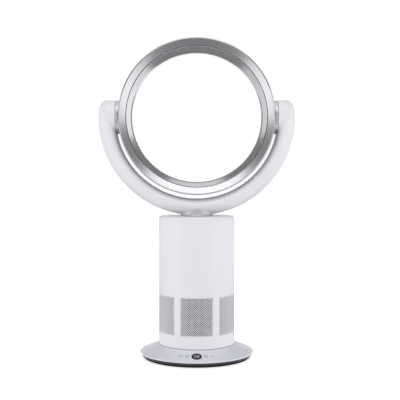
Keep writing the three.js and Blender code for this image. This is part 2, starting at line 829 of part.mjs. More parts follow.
/** The grey collar between tower and yoke, its top shaped to the yoke's underside. */
function makeNeck() {
  const collar = turned(
    [
      [neckBore, neckBottom],
      [neckRadius - 2.4, neckBottom],
      [neckRadius - 2.4, towerTop + gap],
      [neckRadius + 4, towerTop + gap],
      [neckRadius + 1.4, towerTop + 1.6],
      [neckRadius, towerTop + 6],
      [neckRadius - 0.6, towerTop + 22],
      [neckBore, towerTop + 22],
    ],
  );
  return cut(collar, yokeSkin(-gap).translate(0, 0, nozzleCentre));
}

/** The fan motor: a can with a boss at each end. */
function makeMotor() {
  const bottom = diffuserFloor + wall + gap;
  const top = bottom + motorHeight;
  return turned(
    [
      [shaftRadius + gap, bottom],
      [motorRadius, bottom],
      [motorRadius, top - 4, 3],
      [10, top - 1],
      [10, top],
      [shaftRadius + gap, top],
    ],
    medium,
  );
}

function makeTower() {
  const tower = new THREE.Group();
  const { whitePlastic, greyPlastic, blackPlastic, steel, board, acetal } = materials;
  tower.add(piece("turntable", makeTurntable(), blackPlastic));
  tower.add(piece("gear_sector", makeSector(), acetal));
  tower.add(piece("hub_retainer", makeRetainer(), acetal));
  retainerScrewAngles.forEach((angle, i) => {
    const [x, y] = onCircle(hubRadius - hubWall / 2, angle);
    const fastener = screw(hubHeight + 1, 0.8, 1.6);
    tower.add(piece(`retainer_screw_${i + 1}`, fastener, steel, x, y, retainerBottom - seat));
  });
  tower.add(piece("tower_shell", makeTowerShell(), whitePlastic));
  const grille = makeGrille();
  for (let i = 0; i < grilleCount; i++) {
    const panel = piece(`intake_grille_${i + 1}`, grille, greyPlastic);
    panel.rotation.z = THREE.MathUtils.degToRad(-90 + (360 / grilleCount) * i);
    tower.add(panel);
  }
  tower.add(piece("tower_cap", makeCap(), whitePlastic));
  tower.add(piece("driver_board", makeDriverBoard(), board));
  tower.add(piece("impeller_shroud", makeShroud(), blackPlastic));
  tower.add(piece("diffuser", makeDiffuser(), blackPlastic));
  tower.add(piece("fan_motor", makeMotor(), steel));
  tower.add(piece("outlet_cone", makeOutletCone(), blackPlastic));
  tower.add(piece("neck_collar", makeNeck(), greyPlastic));
  return tower;
}

function makeFanRotor() {
  const rotor = new THREE.Group();
  rotor.add(piece("impeller", makeImpeller(), materials.blackPlastic));
  const shaftTop = diffuserFloor + wall + motorHeight - 4;
  const shaft = disc(shaftRadius, impellerBottom + 1, shaftTop, 16);
  rotor.add(piece("motor_shaft", shaft, materials.steel));
  return rotor;
}

// ---- Yoke ----------------------------------------------------------------------------------------

/** The skin of the crescent duct, moved inwards by an inset, about the nozzle's centre. */
function yokeSkin(inset) {
  const fillet = yokeFillet - inset;
  const flat = yokeHalfDepth - yokeFillet;
  const reach = yokeOuterRadius - yokeMid - inset;
  const depth = yokeHalfDepth - inset;
  const shape = [];
  for (let k = 0; k <= 2; k++) {
    const angle = (Math.PI / 2) * (k / 2);
    shape.push([-fillet * Math.cos(angle), -flat - fillet * Math.sin(angle)]);
  }
  for (let k = 1; k < 6; k++) {
    const angle = -Math.PI / 2 + Math.PI * (k / 6);
    shape.push([reach * Math.cos(angle), depth * Math.sin(angle)]);
  }
  shape.push(...shape.slice(0, 3).reverse().map(([across, y]) => [across, -y]));

  const stations = [];
  for (let k = 0; k <= arcSteps; k++) {
    stations.push({ degrees: -90 + (180 * k) / arcSteps, depthShare: 1, reachShare: 1 });
  }
  for (const rounding of endRoundings) {
    const angle = THREE.MathUtils.degToRad(rounding);
    const rise = Math.sin(angle);
    const turn = Math.asin(((yokeEndRadius - inset) * rise) / yokeMid);
    const degrees = 90 + THREE.MathUtils.radToDeg(turn);
    const shares = { depthShare: Math.cos(angle), reachShare: Math.cbrt(1 - rise ** 3) };
    stations.push({ degrees, ...shares });
    stations.unshift({ degrees: -degrees, ...shares });
  }
  const sections = stations.map(({ degrees, depthShare, reachShare }) => {
    const angle = THREE.MathUtils.degToRad(degrees);
    return shape.map(([across, y]) => {
      const radius = yokeMid + across * (across > 0 ? reachShare : 1);
      return new THREE.Vector3(radius * Math.sin(angle), y * depthShare, -radius * Math.cos(angle));
    });
  });
  return loft(sections);
}

/** Where each yoke screw stands, in the yoke's own frame. */
function yokeScrewPlace(degrees) {
  const angle = THREE.MathUtils.degToRad(degrees);
  return [yokeScrewRadius * Math.sin(angle), -yokeScrewRadius * Math.cos(angle)];
}

/** The whole hollow yoke, before it is split into a front and a rear shell. */
function makeYokeBody() {
  const sides = [1, -1];
  const bosses = sides.map((side) =>
    alongX(disc(yokeEndRadius, bossFace, bossDepth, medium)).scale(side, side, 1),
  );
  const postEnd = yokeHalfDepth - wall + slip;
  const posts = yokeScrewAngles.map((degrees) => {
    const [x, z] = yokeScrewPlace(degrees);
    return alongY(disc(yokePost, -postEnd, postEnd, small)).translate(x, 0, z);
  });
  const body = join(cut(yokeSkin(0), yokeSkin(wall)), ...bosses, ...posts);
  const keeperPocket = Math.max(bushRadius + bushLip, clipRadius) + gap;
  const pockets = sides.flatMap((side) => [
    alongX(disc(pivotPocket, nozzleRadius - past, bossFace, medium)).scale(side, side, 1),
    alongX(disc(bushRadius + gap, bossFace - past, bossDepth + past, medium)).scale(side, side, 1),
    alongX(disc(keeperPocket, bossDepth, clipStart + clipHeight + gap, medium)).scale(side, side, 1),
  ]);
  const intake = disc(neckBore, -yokeOuterRadius - past, -yokeOuterRadius + 12, medium);
  return cut(body, ...pockets, intake);
}

function makeYoke() {
  const yoke = new THREE.Group();
  yoke.position.z = nozzleCentre;
  const { whitePlastic, steel, acetal } = materials;
  const body = makeYokeBody();
  const span = 2 * (yokeOuterRadius + past);
  const depth = yokeHalfDepth + past;
  const half = (side) => block(span, depth, span, 0, (side * (depth + gap)) / 2, 0);
  const sunk = yokeScrewAngles.map((degrees) => {
    const [x, z] = yokeScrewPlace(degrees);
    return alongY(disc(screwHeadRadius + gap, yokeHeadSeat, yokeHalfDepth + past, small)).translate(x, 0, z);
  });
  const bores = yokeScrewAngles.map((degrees) => {
    const [x, z] = yokeScrewPlace(degrees);
    return alongY(disc(screwRadius + gap, -10, yokeHeadSeat + 1, small)).translate(x, 0, z);
  });
  const front = cut(common(body, half(-1)), ...bores);
  const rear = cut(common(body, half(1)), ...bores, ...sunk);
  yoke.add(piece("yoke_front_shell", front, whitePlastic));
  yoke.add(piece("yoke_rear_shell", rear, whitePlastic));
  yokeScrewAngles.forEach((degrees, i) => {
    const [x, z] = yokeScrewPlace(degrees);
    const name = `yoke_screw_${i + 1}`;
    const fastener = piece(name, screw(yokeScrewLength), steel, x, yokeHeadSeat + gap / 2, z);
    fastener.rotation.x = Math.PI / 2;
    yoke.add(fastener);
  });
  const bush = turned(
    [
      [bushBore, bossFace + slip],
      [bushRadius, bossFace + slip],
      [bushRadius, bushEnd - bushLipHeight],
      [bushRadius + bushLip, bushEnd - bushLipHeight],
      [bushRadius + bushLip, bushEnd],
      [bushBore, bushEnd],
    ],
    medium,
  );
  for (const [name, side] of [["left", -1], ["right", 1]]) {
    const mesh = piece(`pivot_bush_${name}`, bush, acetal);
    mesh.rotation.y = (side * Math.PI) / 2;
    yoke.add(mesh);
  }
  return yoke;
}

// ---- Nozzle --------------------------------------------------------------------------------------

const lip = -nozzleHalfDepth;
const outerJoint = lip + frontRingDepth; // where the front ring meets the outer shell

/** The silver front ring: outer lip, sloping face, and the long edge of the air slot. */
function makeFrontRing() {
  const slotOuter = slotRadius + slotWidth / 2;
  return turnedAboutY([
    [nozzleRadius, outerJoint],
    [nozzleRadius, lip + 5, 3],
    [lipRadius, lip, 1.2],
    [slotOuter, lip + slotDepth],
    [slotOuter + 0.6, lip + slotDepth + 8],
    [slotOuter + 0.6 + nozzleWall, lip + slotDepth + 8],
    [slotOuter + nozzleWall, lip + slotDepth + 2],
    [lipRadius - 1.4, lip + nozzleWall + 1],
    [nozzleRadius - nozzleWall, lip + 7],
    [nozzleRadius - nozzleWall, outerJoint],
  ]);
}

/** The inner ring, from the slot over the throat to the flared back, with the slot's spacers. */
function makeInnerRing() {
  const slotInner = slotRadius - slotWidth / 2;
  const rear = nozzleHalfDepth - 1;
  const body = turnedAboutY([
    [slotInner, lip + slotDepth + 0.4],
    [throatRadius, lip + throatDepth, 24],
    [throatRadius + flare, rear],
    [throatRadius + flare + nozzleWall, rear],
    [throatRadius + nozzleWall, lip + throatDepth, 24],
    [slotInner, lip + slotDepth + 5],
  ], fine, 3);
  const spacers = [...Array(spacerCount).keys()].map((i) => {
    const tab = block(3, 4, 2.4, slotInner + 0.4, lip + slotDepth + 4.2, 0);
    return tab.rotateY((2 * Math.PI * (i + 0.5)) / spacerCount);
  });
  const clear = turnedAboutY([
    [slotRadius + slotWidth / 2 - gap, lip],
    [slotRadius + 20, lip],
    [slotRadius + 20, 0],
    [slotRadius + slotWidth / 2 + gap, lip + slotDepth + 9],
  ]);
  return cut(join(body, ...spacers), clear);
}

/** The outer shell: side wall, round back and the two trunnion openings. */
function makeOuterShell() {
  const rearRadius = throatRadius + flare + nozzleWall + gap;
  const shell = turnedAboutY([
    [nozzleRadius, outerJoint + gap],
    [nozzleRadius, nozzleHalfDepth, 9],
    [rearRadius, nozzleHalfDepth],
    [rearRadius, nozzleHalfDepth - returnDepth],
    [rearRadius + nozzleWall, nozzleHalfDepth - returnDepth],
    [rearRadius + nozzleWall, nozzleHalfDepth - nozzleWall],
    [nozzleRadius - nozzleWall, nozzleHalfDepth - nozzleWall, 6],
    [nozzleRadius - nozzleWall, outerJoint + gap],
  ]);
  const openings = alongX(disc(trunnionTube + gap, -nozzleRadius - past, nozzleRadius + past, medium));
  const depth = 2 * nozzleHalfDepth;
  const band = ring(2 * nozzleRadius, throatRadius, -depth, depth).rotateX(Math.PI / 2);
  return cut(shell, common(openings, band));
}

/** The hollow trunnion: a flange against the nozzle's side and a tube into the yoke, along +X. */
function makeTrunnion() {
  const flange = alongX(disc(trunnionRadius, nozzleRadius - 6, pivotFace, medium));
  const depth = 2 * nozzleHalfDepth;
  const drum = ring(nozzleRadius + gap, 0, -depth, depth).rotateX(Math.PI / 2);
  const inner = trunnionTube - trunnionWall;
  const tube = alongX(ring(trunnionTube, inner, nozzleRadius - 7, tubeEnd, medium));
  const bore = alongX(disc(inner, nozzleRadius - 20, tubeEnd + past, medium));
  return cut(join(cut(flange, drum), tube), bore);
}

function makeNozzle() {
  const nozzle = new THREE.Group();
  nozzle.position.z = nozzleCentre;
  const { silverPaint, greyPlastic, steel } = materials;
  nozzle.add(piece("nozzle_front_ring", makeFrontRing(), silverPaint));
  nozzle.add(piece("nozzle_inner_ring", makeInnerRing(), silverPaint));
  nozzle.add(piece("nozzle_outer_shell", makeOuterShell(), silverPaint));
  const trunnion = makeTrunnion();
  const clipEnd = clipStart + clipHeight;
  const clip = alongX(ring(clipRadius, trunnionTube + slip, clipStart, clipEnd, medium));
  for (const [name, turn] of [["left", Math.PI], ["right", 0]]) {
    const journal = piece(`trunnion_${name}`, trunnion, greyPlastic);
    journal.rotation.z = turn;
    nozzle.add(journal);
    const keeper = piece(`trunnion_clip_${name}`, clip, steel);
    keeper.rotation.z = turn;
    nozzle.add(keeper);
  }
  return nozzle;
}

// ---- The fan -------------------------------------------------------------------------------------

const fan = new THREE.Group();
fan.add(makeBase(), makeDrive(), makeTower(), makeFanRotor(), makeYoke(), makeNozzle());
export default fan;
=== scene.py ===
"""The looks of a bladeless table fan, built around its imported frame.

A round base with a touch panel carries a drum-shaped tower with six perforated windows. A crescent
yoke stands on the tower and holds a silver ring between its arms. Sizes are in millimetres and are
turned to metres when a piece is finished. The front faces -Y, +Z is up, and the table is at Z 0.
"""

import json
import logging
import math
from dataclasses import dataclass
from enum import Enum

import bmesh
import bpy
from mathutils import Matrix, Vector


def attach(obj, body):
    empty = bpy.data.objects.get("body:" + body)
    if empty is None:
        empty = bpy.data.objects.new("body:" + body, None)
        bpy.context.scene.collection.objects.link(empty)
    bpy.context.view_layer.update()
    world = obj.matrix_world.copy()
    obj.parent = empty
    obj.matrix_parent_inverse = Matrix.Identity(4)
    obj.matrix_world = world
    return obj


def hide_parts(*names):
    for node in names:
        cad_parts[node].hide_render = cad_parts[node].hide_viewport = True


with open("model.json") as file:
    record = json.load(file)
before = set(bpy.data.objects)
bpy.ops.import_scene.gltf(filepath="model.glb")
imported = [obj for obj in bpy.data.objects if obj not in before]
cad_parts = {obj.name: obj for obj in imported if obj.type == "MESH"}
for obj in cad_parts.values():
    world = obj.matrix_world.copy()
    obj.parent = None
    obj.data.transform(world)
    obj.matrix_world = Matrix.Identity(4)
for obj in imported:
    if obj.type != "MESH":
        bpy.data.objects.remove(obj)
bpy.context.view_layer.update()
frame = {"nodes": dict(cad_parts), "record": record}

METRES_PER_MM = 0.001
PIVOT_HEIGHT = 455.5  # The tilt axis: the middle of the yoke and of the nozzle, in millimetres.
ROUND_SIDES = 96  # Sides of a plain turned hole, ring or disc.
log = logging.getLogger("fan")


class Axis(Enum):
    """The axis that a turned piece is spun about."""

    X = "X"
    Y = "Y"
    Z = "Z"

    @property
    def direction(self) -> Vector:
        """The axis as a unit vector."""
        return Vector([float(self.value == letter) for letter in "XYZ"])

    def place(self, radius: float, along: float) -> Vector:
        """A point of a profile: its distance from the axis, and its place along it.

        Args:
            radius: Distance from the axis.
            along: Place along the axis.

        Returns:
            The point, in the half plane that the profile lies in.
        """
        if self is Axis.Z:
            return Vector((radius, 0, along))
        if self is Axis.Y:
            return Vector((radius, along, 0))
        return Vector((along, 0, radius))


class Side(Enum):
    """A side of the fan as the front view shows it."""

    LEFT = -1
    RIGHT = 1

    @property
    def from_pivot(self) -> Matrix:
        """What takes a shape drawn about the pivot, for the right, to its place on this side."""
        turn = Matrix.Rotation(0 if self is Side.RIGHT else math.pi, 4, "Z")
        return FROM_PIVOT @ turn


# What takes a shape drawn about the middle of the nozzle to its height.
FROM_PIVOT = Matrix.Translation((0, 0, PIVOT_HEIGHT))


@dataclass(frozen=True)
class Corner:
    """A corner of a profile: distance from the axis, place along it, and the radius of its rounding."""

    radius: float
    along: float
    rounding: float = 0.0


# ---- Colours and finishes -------------------------------------------------------------------------


def linear(colour: str) -> tuple[float, float, float, float]:
    """Turns an sRGB hex colour to linear.

    Args:
        colour: Six hex digits after a hash sign.

    Returns:
        Red, green, blue and an alpha of 1.
    """
    shares = [int(colour[place : place + 2], 16) / 255 for place in (1, 3, 5)]
    red, green, blue = (s / 12.92 if s <= 0.04045 else ((s + 0.055) / 1.055) ** 2.4 for s in shares)
    return red, green, blue, 1.0


WHITE = linear("#FFFFFF")


def per_metre(grain: float) -> float:
    """The scale of a pattern on Object coordinates whose grain is that many millimetres."""
    return 1.0 / (grain * METRES_PER_MM)


def cleared(owner: bpy.types.Material | bpy.types.World) -> bpy.types.NodeTree:
    """Turns the nodes of a material or world on and empties its tree.

    Args:
        owner: The material or world.

    Returns:
        The empty tree.
    """
    owner.use_nodes = True
    owner.node_tree.nodes.clear()
    return owner.node_tree


def add_node(
    tree: bpy.types.NodeTree,
    kind: str,
    values: dict | None = None,
    links: dict | None = None,
    **settings: str,
) -> bpy.types.Node:
    """Adds a node to a tree.

    Args:
        tree: The material's or the world's tree.
        kind: The node's type.
        values: Input values by socket name or number.
        links: Output sockets to join to inputs, by input name or number.
        settings: Attributes of the node.

    Returns:
        The new node.
    """
    node = tree.nodes.new(kind)
    for name, value in settings.items():
        setattr(node, name, value)
    for name, value in (values or {}).items():
        node.inputs[name].default_value = value
    for name, output in (links or {}).items():
        tree.links.new(output, node.inputs[name])
    return node


GLOSSIEST = 0.02  # The lowest roughness that a finish's variation may reach.


@dataclass(frozen=True)
class Finish:
    """A surface whose colour, gloss and relief vary with a fine and a broad grain."""

    name: str
    colour: str
    second: str
    roughness: float
    roughness_spread: float = 0.06
    metallic: float = 0.0
    grain: float = 0.8
    cloud: float = 45.0
    relief: float = 0.004
    ior: float = 1.5

    def material(self) -> bpy.types.Material:
        """Makes the finish, or gives the one made before.

        Returns:
            The material.
        """
        made = bpy.data.materials.get(self.name)
        if made:
            return made
        made = bpy.data.materials.new(self.name)
        tree = cleared(made)
        where = add_node(tree, "ShaderNodeTexCoord").outputs["Object"]
        cloud = self.broad(tree, where)
        tint = add_node(tree, "ShaderNodeMix", links={"Factor": cloud}, data_type="RGBA")
        first, second = (socket for socket in tint.inputs if socket.type == "RGBA")
        first.default_value, second.default_value = linear(self.colour), linear(self.second)
        low, high = self.roughness - self.roughness_spread, self.roughness + self.roughness_spread
        gloss = add_node(
            tree, "ShaderNodeMapRange", {"To Min": max(GLOSSIEST, low), "To Max": high}, {"Value": cloud}
        )
        depth = {"Strength": 0.5, "Distance": self.relief * METRES_PER_MM}
        bump = add_node(tree, "ShaderNodeBump", depth, {"Height": self.fine(tree, where)})
        looks = {
            "Base Color": next(socket for socket in tint.outputs if socket.type == "RGBA"),
            "Roughness": gloss.outputs["Result"],
            "Normal": bump.outputs["Normal"],
        }
        shader = add_node(tree, "ShaderNodeBsdfPrincipled", {"Metallic": self.metallic}, looks)
        if not self.metallic:
            shader.inputs["IOR"].default_value = self.ior
        add_node(tree, "ShaderNodeOutputMaterial", links={"Surface": shader.outputs["BSDF"]})
        return made

    def broad(self, tree: bpy.types.NodeTree, where: bpy.types.NodeSocket) -> bpy.types.NodeSocket:
        """The slow variation over the piece, from 0 to 1.

        Args:
            tree: The material's tree.
            where: Object coordinates.

        Returns:
            The factor's socket.
        """
        values = {"Scale": per_metre(self.cloud), "Detail": 3.0, "Roughness": 0.55}
        return add_node(tree, "ShaderNodeTexNoise", values, {"Vector": where}).outputs["Fac"]

    def fine(self, tree: bpy.types.NodeTree, where: bpy.types.NodeSocket) -> bpy.types.NodeSocket:
        """The relief of the moulded or sprayed skin.

        Args:
            tree: The material's tree.
            where: Object coordinates.

        Returns:
            The height's socket.
        """
        values = {"Scale": per_metre(self.grain), "Detail": 2.0}
        return add_node(tree, "ShaderNodeTexNoise", values, {"Vector": where}).outputs["Fac"]


@dataclass(frozen=True)
class FlakePaint(Finish):
    """A metallic lacquer: fine flakes that each catch the light a little differently."""

    flake: float = 0.5

    def fine(self, tree: bpy.types.NodeTree, where: bpy.types.NodeSocket) -> bpy.types.NodeSocket:
        """The flakes, as small cells of differing height.

        Args:
            tree: The material's tree.
            where: Object coordinates.

        Returns:
            The height's socket.
        """
        values = {"Scale": per_metre(self.flake)}
        return add_node(tree, "ShaderNodeTexVoronoi", values, {"Vector": where}).outputs["Distance"]


@dataclass(frozen=True)
class GlowingSegments(Finish):
    """A lit display element behind a smoked window."""

    strength: float = 0.3

    def material(self) -> bpy.types.Material:
        """Makes the finish and lights it.

        Returns:
            The material.
        """
        made = super().material()
        shader = next(n for n in made.node_tree.nodes if n.type == "BSDF_PRINCIPLED")
        shader.inputs["Emission Color"].default_value = linear(self.colour)
        shader.inputs["Emission Strength"].default_value = self.strength
        return made


# Injection-moulded ABS: an even white with a soft sheen and a faint orange-peel skin.
WHITE_ABS = Finish("white_abs_moulded", "#E7E6EA", "#E3E2E7", 0.38, grain=1.6, relief=0.003)
# Fine-flake silver lacquer over ABS: a clean metallic face that mirrors broad lights softly.
SILVER_LACQUER = FlakePaint(
    "silver_lacquer_sprayed", "#DCDCE0", "#D6D6DA", 0.25, roughness_spread=0.02, metallic=1.0, relief=0.0004
)
# Satin pewter lacquer: darker and duller than the ring, on the collar.
PEWTER_LACQUER = FlakePaint(
    "pewter_lacquer_sprayed", "#CCCBD1", "#C5C4CA", 0.36, roughness_spread=0.04, metallic=0.4, relief=0.0006
)
# Satin silver lacquer on the trunnions' discs: it mirrors the light above and the dark table below.
SATIN_LACQUER = FlakePaint(
    "satin_silver_lacquer_sprayed",
    "#D8D8DD",
    "#D1D1D7",
    0.42,
    roughness_spread=0.03,
    metallic=0.75,
    relief=0.0005,
)
# Pearl lacquer on the base: a pale lilac grey with a low metallic sheen.
PEARL_LACQUER = FlakePaint(
    "pearl_lacquer_sprayed", "#DFE0E8", "#DADBE4", 0.34, roughness_spread=0.04, metallic=0.2, relief=0.0005
)
# Glossy black ABS: near black, with clean reflections.
BLACK_ABS = Finish("black_abs_moulded", "#232427", "#1B1C1F", 0.24, grain=1.2, relief=0.003)
# The inner black ABS is spark-textured and dull. Its colour is a little darker than the tray's black, which
# is painted shade so that the holes of the panels look dark.
SHADED_BLACK_ABS = Finish("black_abs_textured_shaded", "#17181A", "#1D1E20", 0.6, grain=0.9, relief=0.02)
# A dark matt sheet behind the holes: painted shade, standing in for the shadowed inside of the tower, so
# the holes look dark.
SHADE_SHEET = Finish("painted_shade_sheet_matt", "#2A2B2E", "#232427", 0.85, grain=0.4, cloud=8.0, relief=0.03)
# The panels are satin ABS, as the wall is, a little greyer.
GRILLE_ABS = Finish("grille_abs_moulded", "#DFDEE3", "#DAD9DF", 0.42, grain=1.0, relief=0.004)
# Silicone rubber feet: dull, a little dusty.
RUBBER = Finish("silicone_rubber_moulded", "#1D1D1F", "#29292B", 0.82, grain=0.5, relief=0.02)
# Zinc-plated steel: grey, cool, with cloudy plating.
ZINC_STEEL = Finish("zinc_steel_plated", "#A9ABAE", "#8F9296", 0.36, metallic=1.0, grain=0.7, cloud=6.0)
# Smoked acrylic over the display: nearly black, polished.
SMOKED_ACRYLIC = Finish(
    "smoked_acrylic_polished",
    "#0B0C10",
    "#111218",
    0.07,
    roughness_spread=0.02,
    grain=6.0,
    relief=0.001,
    ior=1.49,
)
# Light-emitting digits, dimmed by the smoked window to a pale grey.
LED_SEGMENTS = GlowingSegments("led_segments_moulded", "#C6C8D0", "#C0C2CA", 0.5, grain=0.4)
# Pad-printed ink of the touch marks: a faint violet grey.
PAD_INK = Finish("pad_ink_printed", "#73737E", "#6B6B77", 0.5, grain=0.3, cloud=4.0)
# Epoxy circuit board with solder mask: an even dark green with a dull sheen.
BOARD_EPOXY = Finish("epoxy_board_laminated", "#1F5A38", "#194B2F", 0.45, grain=0.4, cloud=3.0, relief=0.01)
# Acetal: a waxy off-white used for gears and bearings.
ACETAL = Finish("acetal_moulded", "#EAE7DD", "#E2DFD3", 0.48, grain=0.9, relief=0.004)

FINISHES = {
    "white_plastic": WHITE_ABS,
    "silver_paint": SILVER_LACQUER,
    "grey_plastic": PEWTER_LACQUER,
    "base_cover_paint": PEARL_LACQUER,
    "black_plastic": BLACK_ABS,
    "rubber": RUBBER,
    "steel": ZINC_STEEL,
    "display_window": SMOKED_ACRYLIC,
    "circuit_board": BOARD_EPOXY,
    "acetal": ACETAL,
}


# ---- Shaping --------------------------------------------------------------------------------------


def spun(mesh: bmesh.types.BMesh, geom: list, axis: Axis, angle: float, steps: int) -> None:
    """Spins a drawn shape about an axis through the origin, and closes a full turn.

    Args:
        mesh: The mesh that the shape is in.
        geom: The shape's vertices and edges, and its faces if the swept solid is to have ends.
        axis: The axis.
        angle: How far, in radians.
        steps: Steps round the axis.
    """
    bmesh.ops.spin(
        mesh,
        geom=geom,
        cent=(0, 0, 0),
        axis=axis.direction,
        angle=angle,
        steps=steps,
        use_merge=angle == math.tau,
    )


def outline(mesh: bmesh.types.BMesh, corners: list[Corner], axis: Axis, steps: int) -> list:
    """Draws a closed profile with rounded corners in the half plane beside an axis.

    Args:
        mesh: The mesh to draw in.
        corners: The corners in order.
        axis: The axis that the profile will be spun about.
        steps: Straight pieces in each rounding.

    Returns:
        The profile's edges, without those that lie on the axis.
    """
    points = [axis.place(corner.radius, corner.along) for corner in corners]
    verts = [mesh.verts.new(point) for point in points]
    mesh.faces.new(verts)
    count = len(corners)
    for place, corner in enumerate(corners):
        if not corner.rounding:
            continue
        before = (points[place - 1] - points[place]).normalized()
        after = (points[(place + 1) % count] - points[place]).normalized()
        reach = corner.rounding / math.tan(before.angle(after) / 2)
        bmesh.ops.bevel(
            mesh,
            geom=[verts[place]],
            offset=reach,
            offset_type="OFFSET",
            affect="VERTICES",
            segments=steps,
            profile=0.5,
            material=-1,
        )
    bmesh.ops.delete(mesh, geom=mesh.faces[:], context="FACES_ONLY")
    line = axis.direction
    on_axis = [
        edge
        for edge in mesh.edges
        if all((vert.co - line * vert.co.dot(line)).length < 1e-6 for vert in edge.verts)
    ]
    bmesh.ops.delete(mesh, geom=on_axis, context="EDGES")
    return mesh.edges[:]


def turned(corners: list[Corner], axis: Axis, turns: int, steps: int = 6) -> bmesh.types.BMesh:
    """Spins a closed profile through a full turn.

    Args:
        corners: The profile's corners.
        axis: The axis to spin about, through the origin.
        turns: Steps round the axis.
        steps: Straight pieces in each rounding.

    Returns:
        The closed mesh.
    """
    mesh = bmesh.new()
    edges = outline(mesh, corners, axis, steps)
    spun(mesh, [*mesh.verts, *edges], axis, math.tau, turns)
    bmesh.ops.remove_doubles(mesh, verts=mesh.verts, dist=1e-5)
    bmesh.ops.recalc_face_normals(mesh, faces=mesh.faces)
    return mesh


def tube(
    outer: float, inner: float, start: float, end: float, axis: Axis, turns: int = ROUND_SIDES
) -> bmesh.types.BMesh:
    """A plain ring about an axis, or a disc with no inner radius.

    Args:
        outer: Its outer radius.
        inner: Its inner radius.
        start: Where it starts along the axis.
        end: Where it ends.
        axis: The axis.
        turns: Steps round it.

    Returns:
        The closed mesh.
    """
    corners = [Corner(inner, start), Corner(outer, start), Corner(outer, end), Corner(inner, end)]
    return turned(corners, axis, turns)


def box(width: float, depth: float, height: float, middle: tuple[float, float, float]) -> bmesh.types.BMesh:
    """A box about a point.

    Args:
        width: Its size along X.
        depth: Its size along Y.
        height: Its size along Z.
        middle: Its middle.

    Returns:
        The closed mesh.
    """
    mesh = bmesh.new()
    sized = Matrix.Translation(middle) @ Matrix.Diagonal((width, depth, height, 1))
    bmesh.ops.create_cube(mesh, size=1, matrix=sized)
    return mesh


def merged(parts: list[bmesh.types.BMesh]) -> bmesh.types.BMesh:
    """Puts several meshes into the first one.

    Args:
        parts: The meshes; all but the first are freed.

    Returns:
        The first mesh.
    """
    first, *others = parts
    for other in others:
        data = bpy.data.meshes.new("part")
        other.to_mesh(data)
        other.free()
        first.from_mesh(data)
        bpy.data.meshes.remove(data)
    return first


def moved(mesh: bmesh.types.BMesh, matrix: Matrix) -> bmesh.types.BMesh:
    """Transforms a whole mesh and gives it back."""
    bmesh.ops.transform(mesh, matrix=matrix, verts=mesh.verts)
    return mesh


def shown(name: str, mesh: bmesh.types.BMesh) -> bpy.types.Object:
    """Makes an object of a mesh drawn in millimetres.

    Args:
        name: The object's name.
        mesh: The mesh, which is freed.

    Returns:
        The object, in metres, at the origin.
    """
    bmesh.ops.scale(mesh, vec=(METRES_PER_MM,) * 3, verts=mesh.verts)
    data = bpy.data.meshes.new(name)
    mesh.to_mesh(data)
    mesh.free()
    made = bpy.data.objects.new(name, data)
    bpy.context.scene.collection.objects.link(made)
    return made


def settled(made: bpy.types.Object) -> bpy.types.Object:
    """Applies an object's modifiers to its mesh.

    Args:
        made: The object.

    Returns:
        The same object, with no modifiers.
    """
    bpy.context.view_layer.update()
    seen = made.evaluated_get(bpy.context.evaluated_depsgraph_get())
    data = bpy.data.meshes.new_from_object(seen)
    old = made.data
    made.modifiers.clear()
    made.data = data
    bpy.data.meshes.remove(old)
    data.name = made.name
    return made


def carved(made: bpy.types.Object, cutter: bmesh.types.BMesh) -> bpy.types.Object:
    """Cuts a shape out of an object.

    Args:
        made: The object.
        cutter: The shape, in millimetres, which is freed.

    Returns:
        The same object.
    """
    tool = shown("cutter", cutter)
    cut = made.modifiers.new("cut", "BOOLEAN")
    cut.operation, cut.object, cut.solver = "DIFFERENCE", tool, "EXACT"
    settled(made)
    data = tool.data
    bpy.data.objects.remove(tool)
    bpy.data.meshes.remove(data)
    return made


def walled(made: bpy.types.Object, thickness: float) -> bpy.types.Object:
    """Gives an open skin its wall, on the inner side.

    Args:
        made: The object whose mesh is a skin with its faces outwards.
        thickness: The wall, in millimetres.

    Returns:
        The same object.
    """
    wall = made.modifiers.new("wall", "SOLIDIFY")
    wall.thickness, wall.offset = thickness * METRES_PER_MM, -1
    wall.use_even_offset = True
    return settled(made)


class Assembly:
    """What every sub-assembly of the fan does with a finished shape."""

    def add(
        self,
        made: bpy.types.Object,
        body: str,
        slot: str,
        replaces: tuple[str, ...] = (),
        finish: Finish | None = None,
        edge: float = 0.0,
        sharp: float = 32.0,
    ) -> None:
        """Dresses a piece and joins it to its body.

        Args:
            made: The piece.
            body: The body that it rides on.
            slot: The material slot that it takes its finish from.
            replaces: The frame's nodes that it stands for.
            finish: Its finish, if it isn't the slot's own.
            edge: Width of a rounding on all sharp edges, in millimetres.
            sharp: The angle from which an edge is sharp, in degrees.
        """
        made.data.materials.clear()
        made.data.materials.append((finish or FINISHES[slot]).material())
        if edge:
            rounding = made.modifiers.new("rounding", "BEVEL")
            rounding.width, rounding.segments = edge * METRES_PER_MM, 3
            rounding.limit_method, rounding.angle_limit = "ANGLE", math.radians(sharp + 8)
            settled(made)
        made.data.shade_smooth()
        made.data.set_sharp_from_angle(angle=math.radians(sharp))
        weighted = made.modifiers.new("even_shading", "WEIGHTED_NORMAL")
        weighted.keep_sharp = True
        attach(made, body)
        if replaces:
            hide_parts(*replaces)
        log.info("%s: %d faces", made.name, len(made.data.polygons))


# ---- Base -----------------------------------------------------------------------------------------


